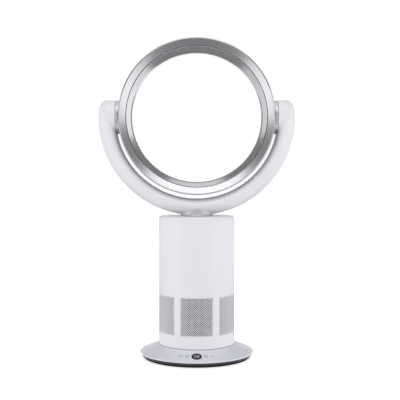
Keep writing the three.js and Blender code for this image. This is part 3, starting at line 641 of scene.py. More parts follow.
@dataclass
class Base(Assembly):
    """The sloping cover with its touch panel, the black tray, the feet and the socket."""

    turns: int = 256
    pad_height: float = 1.2
    pad_radius: float = 8.0
    pad_circle: float = 84.0
    pad_count: int = 4
    pad_gap: float = 0.1
    tray_foot: float = 100.5
    tray_waist: float = 104.0
    tray_waist_height: float = 5.2
    tray_top: float = 104.6
    rim_radius: float = 107.5
    rim_height: float = 10.0
    cover_edge: float = 2.0
    cover_top: float = 26.2
    cover_inner: float = 74.2
    cover_rounding: float = 6.0
    rim_rounding: float = 1.4
    hub_hole: float = 55.09
    wall: float = 2.6
    cover_foot: float = 104.0
    seam: float = 0.3
    window_radius: float = 9.3
    window_depth: float = 2.2
    window_rise: float = 0.05
    key_offsets: tuple[float, ...] = (-29.0, -17.0, 17.0, 29.0)
    mark_size: float = 3.4
    stroke: float = 0.95
    ink: float = 0.04
    digit_width: float = 3.3
    digit_height: float = 6.6
    digit_spacing: float = 5.0
    digit_stroke: float = 0.66
    digit_gap: float = 0.15
    digit_rise: float = 0.06
    socket_width: float = 10.0
    socket_height: float = 7.45
    socket_face: float = 102.0
    socket_bore: float = 3.05
    socket_length: float = 14.0
    socket_wall: float = 0.5
    socket_depth: float = 10.5
    pin_radius: float = 0.8
    notch_play: float = 0.6
    screw_circle: float = 64.39
    screw_angles: tuple[float, ...] = (90.0, 210.0, 330.0)
    screw_head: float = 3.3
    screw_depth: float = 2.7

    @property
    def slope(self) -> float:
        """The cover's slope, in radians."""
        rise = self.cover_top - self.rim_height - self.cover_edge
        return math.atan2(rise, self.rim_radius - self.cover_inner)

    @property
    def panel_circle(self) -> float:
        """The radius of the circle that the touch panel lies on."""
        return (self.cover_inner + self.rim_radius) / 2

    def height(self, radius: float) -> float:
        """The height of the cover's sloping face at a radius."""
        return self.cover_top - (radius - self.cover_inner) * math.tan(self.slope)

    def on_panel(self) -> Matrix:
        """What moves a shape from the XY plane to the slope, at the front."""
        place = Matrix.Translation((0, -self.panel_circle, self.height(self.panel_circle)))
        return place @ Matrix.Rotation(self.slope, 4, "X")

    def wrap(self, mesh: bmesh.types.BMesh, offset: float) -> bmesh.types.BMesh:
        """Lays a flat shape on the round slope of the cover.

        Args:
            mesh: The shape, about the origin on the XY plane.
            offset: How far round to the right of the front it lies.

        Returns:
            The same mesh.
        """
        for vert in mesh.verts:
            across, up, over = vert.co
            angle = -math.pi / 2 + (offset + across) / self.panel_circle
            radius = self.panel_circle - up * math.cos(self.slope)
            lift = over / math.cos(self.slope)
            vert.co = (radius * math.cos(angle), radius * math.sin(angle), self.height(radius) + lift)
        return mesh

    def cover(self) -> bpy.types.Object:
        """The lacquered cover, with the window's opening.

        Returns:
            The object.
        """
        drop = self.wall / math.cos(self.slope)
        under = self.cover_top - self.wall
        profile = [
            Corner(self.cover_foot, self.rim_height, 0.3),
            Corner(self.rim_radius, self.rim_height, 0.5),
            Corner(self.rim_radius, self.rim_height + self.cover_edge, self.rim_rounding),
            Corner(self.cover_inner, self.cover_top, self.cover_rounding),
            Corner(self.hub_hole, self.cover_top, 0.5),
            Corner(self.hub_hole, under),
            Corner(self.cover_inner - 0.6, under),
            Corner(self.cover_foot, self.height(self.cover_foot) - drop),
        ]
        made = shown("base_cover_shell", turned(profile, Axis.Z, self.turns))
        opening = moved(tube(self.window_radius + self.seam, 0, -8, 8, Axis.Z, 64), self.on_panel())
        return carved(made, opening)

    def tray(self) -> bpy.types.Object:
        """The glossy black tray, with a notch for the socket and holes for the screws.

        Returns:
            The object.
        """
        floor = self.pad_height + self.wall
        top = self.rim_height - self.seam
        profile = [
            Corner(0, self.pad_height),
            Corner(self.tray_foot, self.pad_height, 0.8),
            Corner(self.tray_waist, self.tray_waist_height, 0.5),
            Corner(self.tray_top, top, 0.2),
            Corner(self.cover_foot - self.seam, top),
            Corner(self.tray_foot - 2, floor),
            Corner(0, floor),
        ]
        made = shown("base_tray", turned(profile, Axis.Z, self.turns))
        notch = box(self.socket_width + 2 * self.notch_play, 20, 9, (0, self.socket_face + 2, floor + 4.5))
        cutters = [notch]
        out = Matrix.Translation((self.screw_circle, 0, 0))
        for angle in self.screw_angles:
            hole = tube(self.screw_head, 0, 0, self.screw_depth, Axis.Z, 32)
            cutters.append(moved(hole, Matrix.Rotation(math.radians(angle), 4, "Z") @ out))
        return carved(made, merged(cutters))

    def feet(self) -> None:
        """The four rubber pads."""
        top = self.pad_height - self.pad_gap
        profile = [
            Corner(0, 0),
            Corner(self.pad_radius, 0, 0.4),
            Corner(self.pad_radius, top),
            Corner(0, top),
        ]
        for number in range(self.pad_count):
            angle = math.tau * (number + 0.5) / self.pad_count
            across, along = self.pad_circle * math.cos(angle), self.pad_circle * math.sin(angle)
            pad = moved(turned(profile, Axis.Z, 48, steps=4), Matrix.Translation((across, along, 0)))
            made = shown(f"rubber_foot_{number + 1}", pad)
            self.add(made, "base", "rubber", (f"foot_pad_{number + 1}",))

    def window(self) -> bpy.types.Object:
        """The smoked window, slightly proud, with a rounded edge.

        Returns:
            The object.
        """
        profile = [
            Corner(0, -self.window_depth),
            Corner(self.window_radius, -self.window_depth),
            Corner(self.window_radius, self.window_rise, 0.4),
            Corner(0, self.window_rise),
        ]
        return shown("display_lens", moved(turned(profile, Axis.Z, ROUND_SIDES), self.on_panel()))

    def bar(self, start: Vector, end: Vector, width: float, height: float) -> bmesh.types.BMesh:
        """A flat bar with pointed ends, as in a segment display.

        Args:
            start: One tip.
            end: The other tip.
            width: Its width.
            height: Its thickness.

        Returns:
            The mesh, on the XY plane.
        """
        mesh = bmesh.new()
        bmesh.ops.create_circle(mesh, cap_ends=True, segments=6, radius=width / 2)
        length = (end - start).length
        for vert in mesh.verts:
            if abs(vert.co.x) < width * 0.45:
                vert.co.x = math.copysign(length / 2 - width / 2, vert.co.x)
                vert.co.y = math.copysign(width / 2, vert.co.y)
            else:
                vert.co.x = math.copysign(length / 2, vert.co.x)
        raised = bmesh.ops.extrude_face_region(mesh, geom=mesh.faces[:])["geom"]
        top = [part for part in raised if isinstance(part, bmesh.types.BMVert)]
        bmesh.ops.translate(mesh, vec=(0, 0, height), verts=top)
        bmesh.ops.recalc_face_normals(mesh, faces=mesh.faces)
        angle = math.atan2(end.y - start.y, end.x - start.x)
        middle = (start + end) / 2
        return moved(mesh, Matrix.Translation(middle) @ Matrix.Rotation(angle, 4, "Z"))

    def digit(self, segments: str, offset: float) -> list[bmesh.types.BMesh]:
        """One digit of the display.

        Args:
            segments: The letters of the segments that are lit, from a to g.
            offset: Its middle, along X.

        Returns:
            Its bars, on the XY plane.
        """
        x, y = self.digit_width / 2, self.digit_height / 2
        spots = {
            "a": ((-x, y), (x, y)),
            "b": ((x, y), (x, 0)),
            "c": ((x, 0), (x, -y)),
            "d": ((-x, -y), (x, -y)),
            "e": ((-x, 0), (-x, -y)),
            "f": ((-x, y), (-x, 0)),
            "g": ((-x, 0), (x, 0)),
        }
        bars = []
        for letter in segments:
            start, end = (Vector((offset + across, up, 0)) for across, up in spots[letter])
            slack = (end - start).normalized() * self.digit_gap
            bars.append(self.bar(start + slack, end - slack, self.digit_stroke, 0.03))
        return bars

    def digits(self) -> bpy.types.Object:
        """The two digits in the window.

        Returns:
            The object.
        """
        half = self.digit_spacing / 2
        bars = self.digit("abcdef", -half) + self.digit("abcdefg", half)
        lift = Matrix.Translation((0, 0, self.digit_rise))
        return shown("display_digits", moved(merged(bars), self.on_panel() @ lift))

    def arc(self, radius: float, start: float, end: float) -> bmesh.types.BMesh:
        """A curved stroke of ink.

        Args:
            radius: Its middle radius.
            start: Where it starts, in degrees from +X.
            end: Where it ends, less than a full turn on.

        Returns:
            The mesh, on the XY plane.
        """
        mesh = bmesh.new()
        inner, outer = radius - self.stroke / 2, radius + self.stroke / 2
        spots = [(inner, 0), (outer, 0), (outer, self.ink), (inner, self.ink)]
        mesh.faces.new([mesh.verts.new((x, 0, z)) for x, z in spots])
        whole = [*mesh.verts, *mesh.edges, *mesh.faces]
        spun(mesh, whole, Axis.Z, math.radians(end - start), 40)
        bmesh.ops.recalc_face_normals(mesh, faces=mesh.faces)
        return moved(mesh, Matrix.Rotation(math.radians(start), 4, "Z"))

    def dash(self, start: tuple[float, float], end: tuple[float, float]) -> bmesh.types.BMesh:
        """A straight stroke of ink between two points."""
        return self.bar(Vector((*start, 0)), Vector((*end, 0)), self.stroke, self.ink)

    def marks(self) -> None:
        """The four touch marks: power, slower, faster and swing."""
        size = self.mark_size
        arm, arrow, end, foot = 0.45 * size, 0.32 * size, 0.85 * size, -0.3 * size
        shapes = [
            [self.arc(size * 0.8, 125, 415), self.dash((0, 0.25 * size), (0, size))],
            [self.arc(size * 0.95, 20, 379.9), self.dash((-arm, 0), (arm, 0))],
            [
                self.arc(size * 0.95, 20, 379.9),
                self.dash((-arm, 0), (arm, 0)),
                self.dash((0, -arm), (0, arm)),
            ],
            [
                self.arc(size * 0.9, 200, 340),
                self.dash((-end, foot), (-end - arrow, foot - arrow)),
                self.dash((end, foot), (end + arrow, foot - arrow)),
                self.dash((0, -0.2 * size), (0, 0.8 * size)),
            ],
        ]
        for number, (offset, shape) in enumerate(zip(self.key_offsets, shapes)):
            mark = shown(f"touch_mark_{number + 1}", self.wrap(merged(shape), offset))
            self.add(mark, "base", "grey_plastic", finish=PAD_INK)

    def socket(self) -> bpy.types.Object:
        """The barrel socket in the tray's notch, with its centre pin.

        Returns:
            The object.
        """
        height = 2 * (self.socket_bore + self.socket_wall)
        middle = (0, self.socket_face - self.socket_length / 2, self.socket_height)
        body = box(self.socket_width, self.socket_length, height, middle)
        bmesh.ops.bevel(
            body, geom=body.edges[:], offset=0.4, affect="EDGES", segments=3, profile=0.5, material=-1
        )
        made = shown("power_inlet", body)
        place = Matrix.Translation((0, self.socket_face, self.socket_height))
        bore = tube(self.socket_bore, self.pin_radius, -self.socket_depth, 2, Axis.Y, 48)
        past_pin = tube(2, 0, -0.5, 8.5, Axis.Y, 48)
        for cutter in (bore, past_pin):
            carved(made, moved(cutter, place))
        return made

    def build(self) -> None:
        """Makes and dresses the base."""
        self.add(self.cover(), "base", "base_cover_paint", ("base_cover",))
        self.add(self.tray(), "base", "black_plastic", ("base_pan",))
        self.feet()
        self.add(self.window(), "base", "display_window", ("display_window",))
        self.add(self.digits(), "base", "display_window", finish=LED_SEGMENTS)
        self.marks()
        self.add(self.socket(), "base", "black_plastic", ("power_socket",))


# ---- Tower ----------------------------------------------------------------------------------------


@dataclass
class Tower(Assembly):
    """The swivelling drum: wall, six perforated panels, lid and the collar under the yoke."""

    radius: float = 71.9
    wall: float = 3.0
    bottom: float = 26.8
    shell_top: float = 262.1
    top: float = 267.8
    lid_rounding: float = 5.6
    lid_wall: float = 2.6
    lid_seam: float = 0.04
    skirt_wall: float = 2.0
    skirt_depth: float = 5.0
    grille_bottom: float = 50.0
    grille_top: float = 120.5
    grille_count: int = 6
    grille_angle: float = 50.4
    grille_wall: float = 1.4
    grille_inset: float = 0.25
    play: float = 0.3
    step: float = 1.2
    pitch_across: float = 4.4
    pitch_up: float = 4.1
    web: float = 0.36
    hole_rounding: float = 0.8
    shade_sheet_gap: float = 0.05
    shade_sheet_wall: float = 0.12
    shade_sheet_steps: int = 42
    neck_radius: float = 29.4
    neck_bore: float = 22.5
    neck_foot: float = 1.6
    neck_depth: float = 16.0
    neck_height: float = 22.0
    neck_inset: float = 2.4

    @property
    def panel_half_angle(self) -> float:
        """Half the angle that a panel spans, in radians."""
        return math.radians(self.grille_angle / 2) - self.play / self.radius

    @property
    def panel_heights(self) -> tuple[float, float]:
        """The heights of a panel's lower and upper edge."""
        return self.grille_bottom + self.play, self.grille_top - self.play

    def shell(self) -> bpy.types.Object:
        """The wall, with an opening for each panel.

        Returns:
            The object.
        """
        mesh = bmesh.new()
        pier = 360 / self.grille_count - self.grille_angle
        heights = [self.bottom, self.grille_bottom, self.grille_top, self.shell_top]
        start = math.radians(-90 - self.grille_angle / 2 - pier)
        around = Vector((math.cos(start), math.sin(start), 0)) * self.radius
        verts = [mesh.verts.new((around.x, around.y, height)) for height in heights]
        for lower, upper in zip(verts, verts[1:]):
            mesh.edges.new((lower, upper))
        steps = round(360 / self.grille_count / self.step) * self.grille_count
        spun(mesh, [*mesh.verts, *mesh.edges], Axis.Z, math.tau, steps)
        bmesh.ops.remove_doubles(mesh, verts=mesh.verts, dist=1e-4)
        opening = [face for face in mesh.faces if self.in_window(face.calc_center_median())]
        bmesh.ops.delete(mesh, geom=opening, context="FACES")
        bmesh.ops.recalc_face_normals(mesh, faces=mesh.faces)
        return walled(shown("tower_wall", self.outward(mesh)), self.wall)

    def in_window(self, point: Vector) -> bool:
        """Whether a point of the wall lies in one of the openings.

        Args:
            point: The point.

        Returns:
            True where a panel goes.
        """
        unit = 360 / self.grille_count
        angle = (math.degrees(math.atan2(point.y, point.x)) + 90 + unit / 2) % unit - unit / 2
        return abs(angle) < self.grille_angle / 2 and self.grille_bottom < point.z < self.grille_top

    def outward(self, mesh: bmesh.types.BMesh) -> bmesh.types.BMesh:
        """Turns an open skin about the tower's axis so that its faces point away from it."""
        wrong = [f for f in mesh.faces if f.normal.xy.dot(f.calc_center_median().xy) < 0]
        bmesh.ops.reverse_faces(mesh, faces=wrong)
        return mesh

    def grille(self) -> bpy.types.Object:
        """A panel with staggered holes, bent to the tower's front.

        Returns:
            The object.
        """
        width = self.panel_half_angle * self.radius
        low, high = self.panel_heights
        middle, half_height = (low + high) / 2, (high - low) / 2
        mesh = bmesh.new()
        cells = 2 * math.ceil(width / self.pitch_across + half_height / self.pitch_up) + 2
        bmesh.ops.create_grid(mesh, x_segments=cells, y_segments=cells, size=cells / 2)
        slant = Matrix.Diagonal((self.pitch_across, self.pitch_up, 1, 1)) @ Matrix.Scale(math.sqrt(0.5), 4)
        moved(mesh, slant @ Matrix.Rotation(math.radians(45), 4, "Z"))
        reach_x, reach_y = width - self.pitch_across / 2, half_height - self.pitch_up / 2
        holed = []
        for face in mesh.faces:
            spot = face.calc_center_median()
            if abs(spot.x) < reach_x and abs(spot.y) < reach_y:
                holed.append(face)
        bmesh.ops.inset_individual(mesh, faces=holed, thickness=self.web, use_even_offset=True)
        corners = list({vert for face in holed for vert in face.verts})
        bmesh.ops.bevel(
            mesh,
            geom=corners,
            offset=self.hole_rounding,
            affect="VERTICES",
            segments=2,
            profile=0.5,
            material=-1,
        )
        # A hole is a cell whose four corners were each rounded to three points.
        holes = [face for face in mesh.faces if len(face.verts) >= 12]
        bmesh.ops.delete(mesh, geom=holes, context="FACES")
        for direction, reach in (((1, 0, 0), width), ((0, 1, 0), half_height)):
            for sign in (1, -1):
                normal = Vector(direction) * sign
                bmesh.ops.bisect_plane(
                    mesh,
                    geom=[*mesh.verts, *mesh.edges, *mesh.faces],
                    plane_co=normal * reach,
                    plane_no=normal,
                    clear_outer=True,
                )
        outer = self.radius - self.grille_inset
        for vert in mesh.verts:
            angle = vert.co.x / self.radius
            vert.co = (outer * math.sin(angle), -outer * math.cos(angle), middle + vert.co.y)
        bmesh.ops.recalc_face_normals(mesh, faces=mesh.faces)
        return walled(shown("intake_panel_1", self.outward(mesh)), self.grille_wall)

    def shade_sheet(self) -> bpy.types.Object:
        """A dark sheet behind the front panel: painted shade that makes the inside look dark through the
        holes.

        Returns:
            The object.
        """
        half = self.panel_half_angle
        depth = self.radius - self.grille_inset - self.grille_wall - self.shade_sheet_gap
        mesh = bmesh.new()
        start = Vector((depth * math.sin(-half), -depth * math.cos(half), 0))
        ends = [mesh.verts.new((start.x, start.y, height)) for height in self.panel_heights]
        spun(mesh, [*ends, mesh.edges.new(ends)], Axis.Z, 2 * half, self.shade_sheet_steps)
        bmesh.ops.recalc_face_normals(mesh, faces=mesh.faces)
        return walled(shown("intake_gauze_1", self.outward(mesh)), self.shade_sheet_wall)

    def turned_copy(self, first: bpy.types.Object, name: str, number: int) -> bpy.types.Object:
        """A copy of the front panel's part, turned to another panel's place.

        Args:
            first: The front panel's part.
            name: The copy's name.
            number: Which panel it is for, from 1, the front one.

        Returns:
            The copy, or the part itself for the front panel.
        """
        if number == 1:
            return first
        made = bpy.data.objects.new(name, first.data.copy())
        bpy.context.scene.collection.objects.link(made)
        made.data.transform(Matrix.Rotation(math.tau * (number - 1) / self.grille_count, 4, "Z"))
        return made

    def grilles(self) -> None:
        """The six panels and the dark sheets behind them, which are painted shade."""
        first, shade_sheet = self.grille(), self.shade_sheet()
        for number in range(1, self.grille_count + 1):
            panel = self.turned_copy(first, f"intake_panel_{number}", number)
            node = f"intake_grille_{number}"
            self.add(panel, "tower", "grey_plastic", (node,), finish=GRILLE_ABS, sharp=40)
            # Behind each panel is a dark sheet: painted shade for the tower's dim inside.
            sheet_copy = self.turned_copy(shade_sheet, f"intake_gauze_{number}", number)
            self.add(sheet_copy, "tower", "black_plastic", finish=SHADE_SHEET)

    def lid(self) -> bpy.types.Object:
        """The lid, with its broad rounding.

        Returns:
            The object.
        """
        skirt = self.radius - self.wall - self.play
        under, seam = self.top - self.lid_wall, self.shell_top + self.lid_seam
        foot = self.shell_top - self.skirt_depth
        profile = [
            Corner(self.neck_radius - 2, under),
            Corner(self.neck_radius - 2, self.top),
            Corner(self.radius, self.top, self.lid_rounding),
            Corner(self.radius, seam),
            Corner(skirt, seam),
            Corner(skirt, foot),
            Corner(skirt - self.skirt_wall, foot),
            Corner(skirt - self.skirt_wall, under),
        ]
        return shown("tower_lid", turned(profile, Axis.Z, 300, steps=10))

    def collar(self, yoke: "Yoke") -> bpy.types.Object:
        """The grey collar, its top shaped to the yoke's underside.

        Args:
            yoke: The yoke that stands on it.

        Returns:
            The object.
        """
        start, foot = self.top - self.neck_depth, self.top + self.play
        inset, end = self.neck_radius - self.neck_inset, foot + self.neck_height
        profile = [
            Corner(self.neck_bore, start),
            Corner(inset, start),
            Corner(inset, foot),
            Corner(self.neck_radius + self.neck_foot, foot, 0.4),
            Corner(self.neck_radius, foot + 3, 2.0),
            Corner(self.neck_radius - 0.4, end),
            Corner(self.neck_bore, end),
        ]
        mesh = turned(profile, Axis.Z, 160)
        long = [e for e in mesh.edges if abs(e.verts[0].co.z - e.verts[1].co.z) > 8]
        bmesh.ops.subdivide_edges(mesh, edges=long, cuts=6)
        for vert in mesh.verts:
            vert.co.z = min(vert.co.z, yoke.underside(vert.co.x, vert.co.y) - self.play)
        return shown("yoke_collar", mesh)

    def build(self, yoke: "Yoke") -> None:
        """Makes and dresses the tower.

        Args:
            yoke: The yoke that the collar is shaped to.
        """
        self.add(self.shell(), "tower", "white_plastic", ("tower_shell",), edge=0.5)
        self.add(self.lid(), "tower", "white_plastic", ("tower_cap",))
        self.grilles()
        self.add(self.collar(yoke), "tower", "grey_plastic", ("neck_collar",))


# ---- Yoke -----------------------------------------------------------------------------------------


@dataclass
class Yoke(Assembly):
    """The crescent duct: a front and a rear shell, and a boss on each arm."""

    inner: float = 155.0
    fillet: float = 12.0
    fillet_depth: float = 24.0
    outer: float = 187.0
    half_depth: float = 32.4
    roundness: float = 1.7
    fillet_steps: int = 10
    face_steps: int = 22
    end_radius: float = 32.0
    parting: float = 0.12
    wall: float = 2.4
    arc_steps: int = 150
    end_steps: int = 14
    boss_bore: float = 24.5
    boss_face: float = 153.6
    seat_radius: float = 33.0
    tube_hole: float = 22.1
    intake: float = 22.5
    intake_depth: float = 14.0
    screw_radius: float = 170.0
    screw_angles: tuple[float, ...] = (-65.0, -30.0, 30.0, 65.0)
    screw_pocket: float = 3.3
    screw_seat: float = 18.0

    @property
    def mid(self) -> float:
        """The radius at which the flat inner face's fillets end and the round outer face starts."""
        return self.inner + self.fillet

    def underside(self, x: float, y: float) -> float:
        """The height of the yoke's outer face over a point of the tower's top.

        Args:
            x: The point's X.
            y: The point's Y.

        Returns:
            The height, or that of the middle where the point is outside the yoke.
        """
        power = self.roundness
        bulge = max(0.0, 1 - abs(y / self.half_depth) ** power) ** (1 / power)
        reach = self.mid + (self.outer - self.mid) * bulge
        return PIVOT_HEIGHT - math.sqrt(max(0.0, reach**2 - x**2))

    def section(self, mesh: bmesh.types.BMesh) -> None:
        """Draws the front half of the duct's section, straight below the centre.

        Args:
            mesh: The mesh to draw in.
        """
        flat = self.half_depth - self.fillet_depth
        reach = self.outer - self.mid
        points = [(self.inner, -self.parting), (self.inner, -flat / 2)]
        for step in range(self.fillet_steps + 1):
            angle = math.pi / 2 * step / self.fillet_steps
            depth = flat + self.fillet_depth * math.sin(angle)
            points.append((self.mid - self.fillet * math.cos(angle), -depth))
        power = 2 / self.roundness
        last = math.asin((self.parting / self.half_depth) ** (1 / power))
        for step in range(1, self.face_steps + 1):
            angle = math.pi / 2 + (last - math.pi / 2) * step / self.face_steps
            out, depth = math.cos(angle) ** power, self.half_depth * math.sin(angle) ** power
            points.append((self.mid + reach * out, -depth))
        verts = [mesh.verts.new((0, y, -radius)) for radius, y in points]
        for before, after in zip(verts, verts[1:]):
            mesh.edges.new((before, after))

    def skin(self) -> bmesh.types.BMesh:
        """The front half of the duct's skin, with its arms' round ends.

        Returns:
            The open mesh, about the nozzle's centre.
        """
        mesh = bmesh.new()
        self.section(mesh)
        per_step = math.pi / self.arc_steps
        whole = math.pi + 2 * self.end_steps * per_step
        moved(mesh, Matrix.Rotation(-whole / 2, 4, "Y"))
        spun(mesh, [*mesh.verts, *mesh.edges], Axis.Y, whole, self.arc_steps + 2 * self.end_steps)
        for vert in mesh.verts:
            self.round_off(vert, self.end_steps * per_step)
            # The skin round the trunnion's hole lies flat against the back of the boss's face.
            near = math.hypot(vert.co.y, vert.co.z) < self.seat_radius
            if near and abs(vert.co.x) < self.boss_face:
                vert.co.x = math.copysign(self.boss_face, vert.co.x)
        bmesh.ops.remove_doubles(mesh, verts=mesh.verts, dist=0.01)
        bmesh.ops.recalc_face_normals(mesh, faces=mesh.faces)
        foremost = min(mesh.faces, key=lambda face: face.calc_center_median().y)
        if foremost.normal.y > 0:
            bmesh.ops.reverse_faces(mesh, faces=mesh.faces)
        return mesh

    def round_off(self, vert: bmesh.types.BMVert, extra: float) -> None:
        """Draws a point past the horizontal in, so that the arm ends round.

        Args:
            vert: The point.
            extra: The angle past the horizontal at which the skin was spun to end.
        """
        radius = math.hypot(vert.co.x, vert.co.z)
        turn = math.atan2(vert.co.x, -vert.co.z)
        past = abs(turn) - math.pi / 2
        if past < 1e-6:
            return
        rise = math.sin(math.pi / 2 * min(1.0, past / extra))
        across = radius - self.mid
        if across > 0:
            across *= max(0.0, 1 - rise**3) ** (1 / 3)
        angle = math.copysign(math.pi / 2 + math.asin(self.end_radius * rise / self.mid), turn)
        reach = self.mid + across
        depth = vert.co.y * math.sqrt(max(0.0, 1 - rise**2))
        if rise > 0.999:
            depth = -self.parting
        vert.co = (reach * math.sin(angle), min(depth, -self.parting), -reach * math.cos(angle))

    def cutters(self, rear: bool) -> bmesh.types.BMesh:
        """The trunnions' holes, the air's way in and, in the rear shell, the screws' pockets.

        Args:
            rear: Whether this is for the rear shell.

        Returns:
            The shapes to cut away, about the nozzle's centre.
        """
        shapes = [
            tube(self.tube_hole, 0, -self.mid, self.mid, Axis.X),
            tube(self.intake, 0, -self.outer - 5, -self.outer + self.intake_depth, Axis.Z),
        ]
        if rear:
            for degrees in self.screw_angles:
                angle = math.radians(degrees)
                x, z = self.screw_radius * math.sin(angle), -self.screw_radius * math.cos(angle)
                pocket = tube(self.screw_pocket, 0, self.screw_seat, self.half_depth + 5, Axis.Y, 40)
                shapes.append(moved(pocket, Matrix.Translation((x, 0, z))))
        return merged(shapes)

    def shell(self, name: str, rear: bool) -> bpy.types.Object:
        """One half of the duct.

        Args:
            name: The object's name.
            rear: Whether it is the rear half.

        Returns:
            The object.
        """
        mesh = self.skin()
        if rear:
            moved(mesh, Matrix.Scale(-1, 4, Vector((0, 1, 0))))
            bmesh.ops.reverse_faces(mesh, faces=mesh.faces)
        made = walled(shown(name, moved(mesh, FROM_PIVOT)), self.wall)
        return carved(made, moved(self.cutters(rear), FROM_PIVOT))

    def boss(self, side: Side) -> bpy.types.Object:
        """The raised disc round a trunnion's hole.

        Args:
            side: Which arm it is on.

        Returns:
            The object.
        """
        profile = [
            Corner(self.boss_bore, self.boss_face),
            Corner(self.end_radius, self.boss_face, 0.6),
            Corner(self.end_radius, self.mid),
            Corner(self.boss_bore, self.mid),
        ]
        mesh = moved(turned(profile, Axis.X, 128), side.from_pivot)
        return shown(f"pivot_boss_{side.name.lower()}", mesh)

    def build(self) -> None:
        """Makes and dresses the yoke."""
        for name, node, rear in (("front", "yoke_front_shell", False), ("rear", "yoke_rear_shell", True)):
            self.add(self.shell(f"yoke_{name}_half", rear), "tower", "white_plastic", (node,))
        for side in Side:
            self.add(self.boss(side), "tower", "white_plastic")


# ---- Nozzle ---------------------------------------------------------------------------------------


@dataclass
class Nozzle(Assembly):
    """The silver ring: front ring, inner ring, outer shell and the two trunnions."""

    radius: float = 148.0
    lip: float = -33.0
    back: float = 33.0
    lip_radius: float = 145.5
    slot_radius: float = 133.4
    slot_width: float = 0.7
    slot_depth: float = 6.0
    guide_depth: float = 8.0
    guide_flare: float = 0.6
    throat_radius: float = 122.4
    throat: float = -5.0
    flare: float = 4.5
    wall: float = 2.2
    joint: float = -23.5
    seam: float = 0.25
    hem: float = 8.0
    hem_gap: float = 0.3
    back_rounding: float = 9.0
    turns: int = 320
    flange_radius: float = 31.5
    flange_face: float = 153.3
    flange_gap: float = 0.2
    tube_radius: float = 19.0
    tube_wall: float = 2.5
    tube_end: float = 166.0
    spacer_count: int = 8
    spacer_size: tuple[float, float, float] = (3.0, 4.0, 2.4)

    def ring(self, name: str, profile: list[Corner]) -> bpy.types.Object:
        """Turns a profile about the nozzle's axis.

        Args:
            name: The object's name.
            profile: The corners.

        Returns:
            The object.
        """
        mesh = turned(profile, Axis.Y, self.turns, steps=10)
        return shown(name, moved(mesh, FROM_PIVOT))

    def front(self) -> bpy.types.Object:
        """The front ring: side wall, lip, sloping face and the slot's long edge.

        Returns:
            The object.
        """
        slot = self.slot_radius + self.slot_width / 2
        edge = self.lip + self.slot_depth
        guide, guide_end = slot + self.guide_flare, edge + self.guide_depth
        profile = [
            Corner(self.radius, self.joint),
            Corner(self.radius, self.lip + 2.6, 1.8),
            Corner(self.lip_radius + 0.5, self.lip, 0.9),
            Corner(slot, edge, 0.6),
            Corner(guide, guide_end),
            Corner(guide + self.wall, guide_end),
            Corner(slot + self.wall, edge + 2),
            Corner(self.lip_radius - 1.4, self.lip + self.wall + 1),
            Corner(self.radius - self.wall, self.lip + 7),
            Corner(self.radius - self.wall, self.joint),
        ]
        return self.ring("ring_front", profile)

    def inside(self) -> bpy.types.Object:
        """The inner ring: from the slot over the throat to the flared back, with its spacers.

        Returns:
            The object.
        """
        slot = self.slot_radius - self.slot_width / 2
        edge = self.lip + self.slot_depth + 0.4
        rear = self.back - 1
        profile = [
            Corner(slot, edge, 0.6),
            Corner(self.throat_radius, self.throat, 30.0),
            Corner(self.throat_radius + self.flare, rear, 0.8),
            Corner(self.throat_radius + self.flare + self.wall, rear),
            Corner(self.throat_radius + self.wall, self.throat, 28.0),
            Corner(slot, edge + 4.6),
        ]
        shapes = [turned(profile, Axis.Y, self.turns, steps=16)]
        for number in range(self.spacer_count):
            spacer = box(*self.spacer_size, (slot + 0.2, edge + 3.8, 0))
            turn = math.tau * (number + 0.5) / self.spacer_count
            shapes.append(moved(spacer, Matrix.Rotation(turn, 4, "Y")))
        return shown("ring_inside", moved(merged(shapes), FROM_PIVOT))

    def outside(self) -> bpy.types.Object:
        """The outer shell: side wall and round back.

        Returns:
            The object.
        """
        rear = self.throat_radius + self.flare + self.wall + self.hem_gap
        start, hem, within = self.joint + self.seam, self.back - self.hem, self.back - self.wall
        profile = [
            Corner(self.radius, start),
            Corner(self.radius, self.back, self.back_rounding),
            Corner(rear, self.back, 0.8),
            Corner(rear, hem),
            Corner(rear + self.wall, hem),
            Corner(rear + self.wall, within),
            Corner(self.radius - self.wall, within, 6.0),
            Corner(self.radius - self.wall, start),
        ]
        made = self.ring("ring_outside", profile)
        for side in Side:
            reach = sorted((side.value * (self.radius - 10), side.value * (self.radius + 5)))
            hole = tube(self.tube_radius + self.hem_gap, 0, *reach, Axis.X)
            carved(made, moved(hole, FROM_PIVOT))
        return made

    def trunnion(self, side: Side) -> bpy.types.Object:
        """A trunnion: the disc against the ring's side, and the hollow tube into the yoke.

        Args:
            side: Which side it is on.

        Returns:
            The object.
        """
        bore = self.tube_radius - self.tube_wall
        start = self.radius - 4
        profile = [
            Corner(bore, start),
            Corner(self.flange_radius, start),
            Corner(self.flange_radius, self.flange_face, 0.8),
            Corner(self.tube_radius, self.flange_face),
            Corner(self.tube_radius, self.tube_end, 0.5),
            Corner(bore, self.tube_end),
        ]
        mesh = turned(profile, Axis.X, 128)
        for vert in mesh.verts:
            # The disc's inner face follows the ring's round side.
            if vert.co.x < start + 1:
                vert.co.x = math.sqrt((self.radius + self.flange_gap) ** 2 - vert.co.z**2)
        return shown(f"trunnion_disc_{side.name.lower()}", moved(mesh, side.from_pivot))

    def build(self) -> None:
        """Makes and dresses the nozzle."""
        self.add(self.front(), "nozzle", "silver_paint", ("nozzle_front_ring",))
        self.add(self.inside(), "nozzle", "silver_paint", ("nozzle_inner_ring",))
        self.add(self.outside(), "nozzle", "silver_paint", ("nozzle_outer_shell",))
        for side in Side:
            node = f"trunnion_{side.name.lower()}"
            self.add(self.trunnion(side), "nozzle", "grey_plastic", (node,), finish=SATIN_LACQUER)


# ---- Studio ---------------------------------------------------------------------------------------


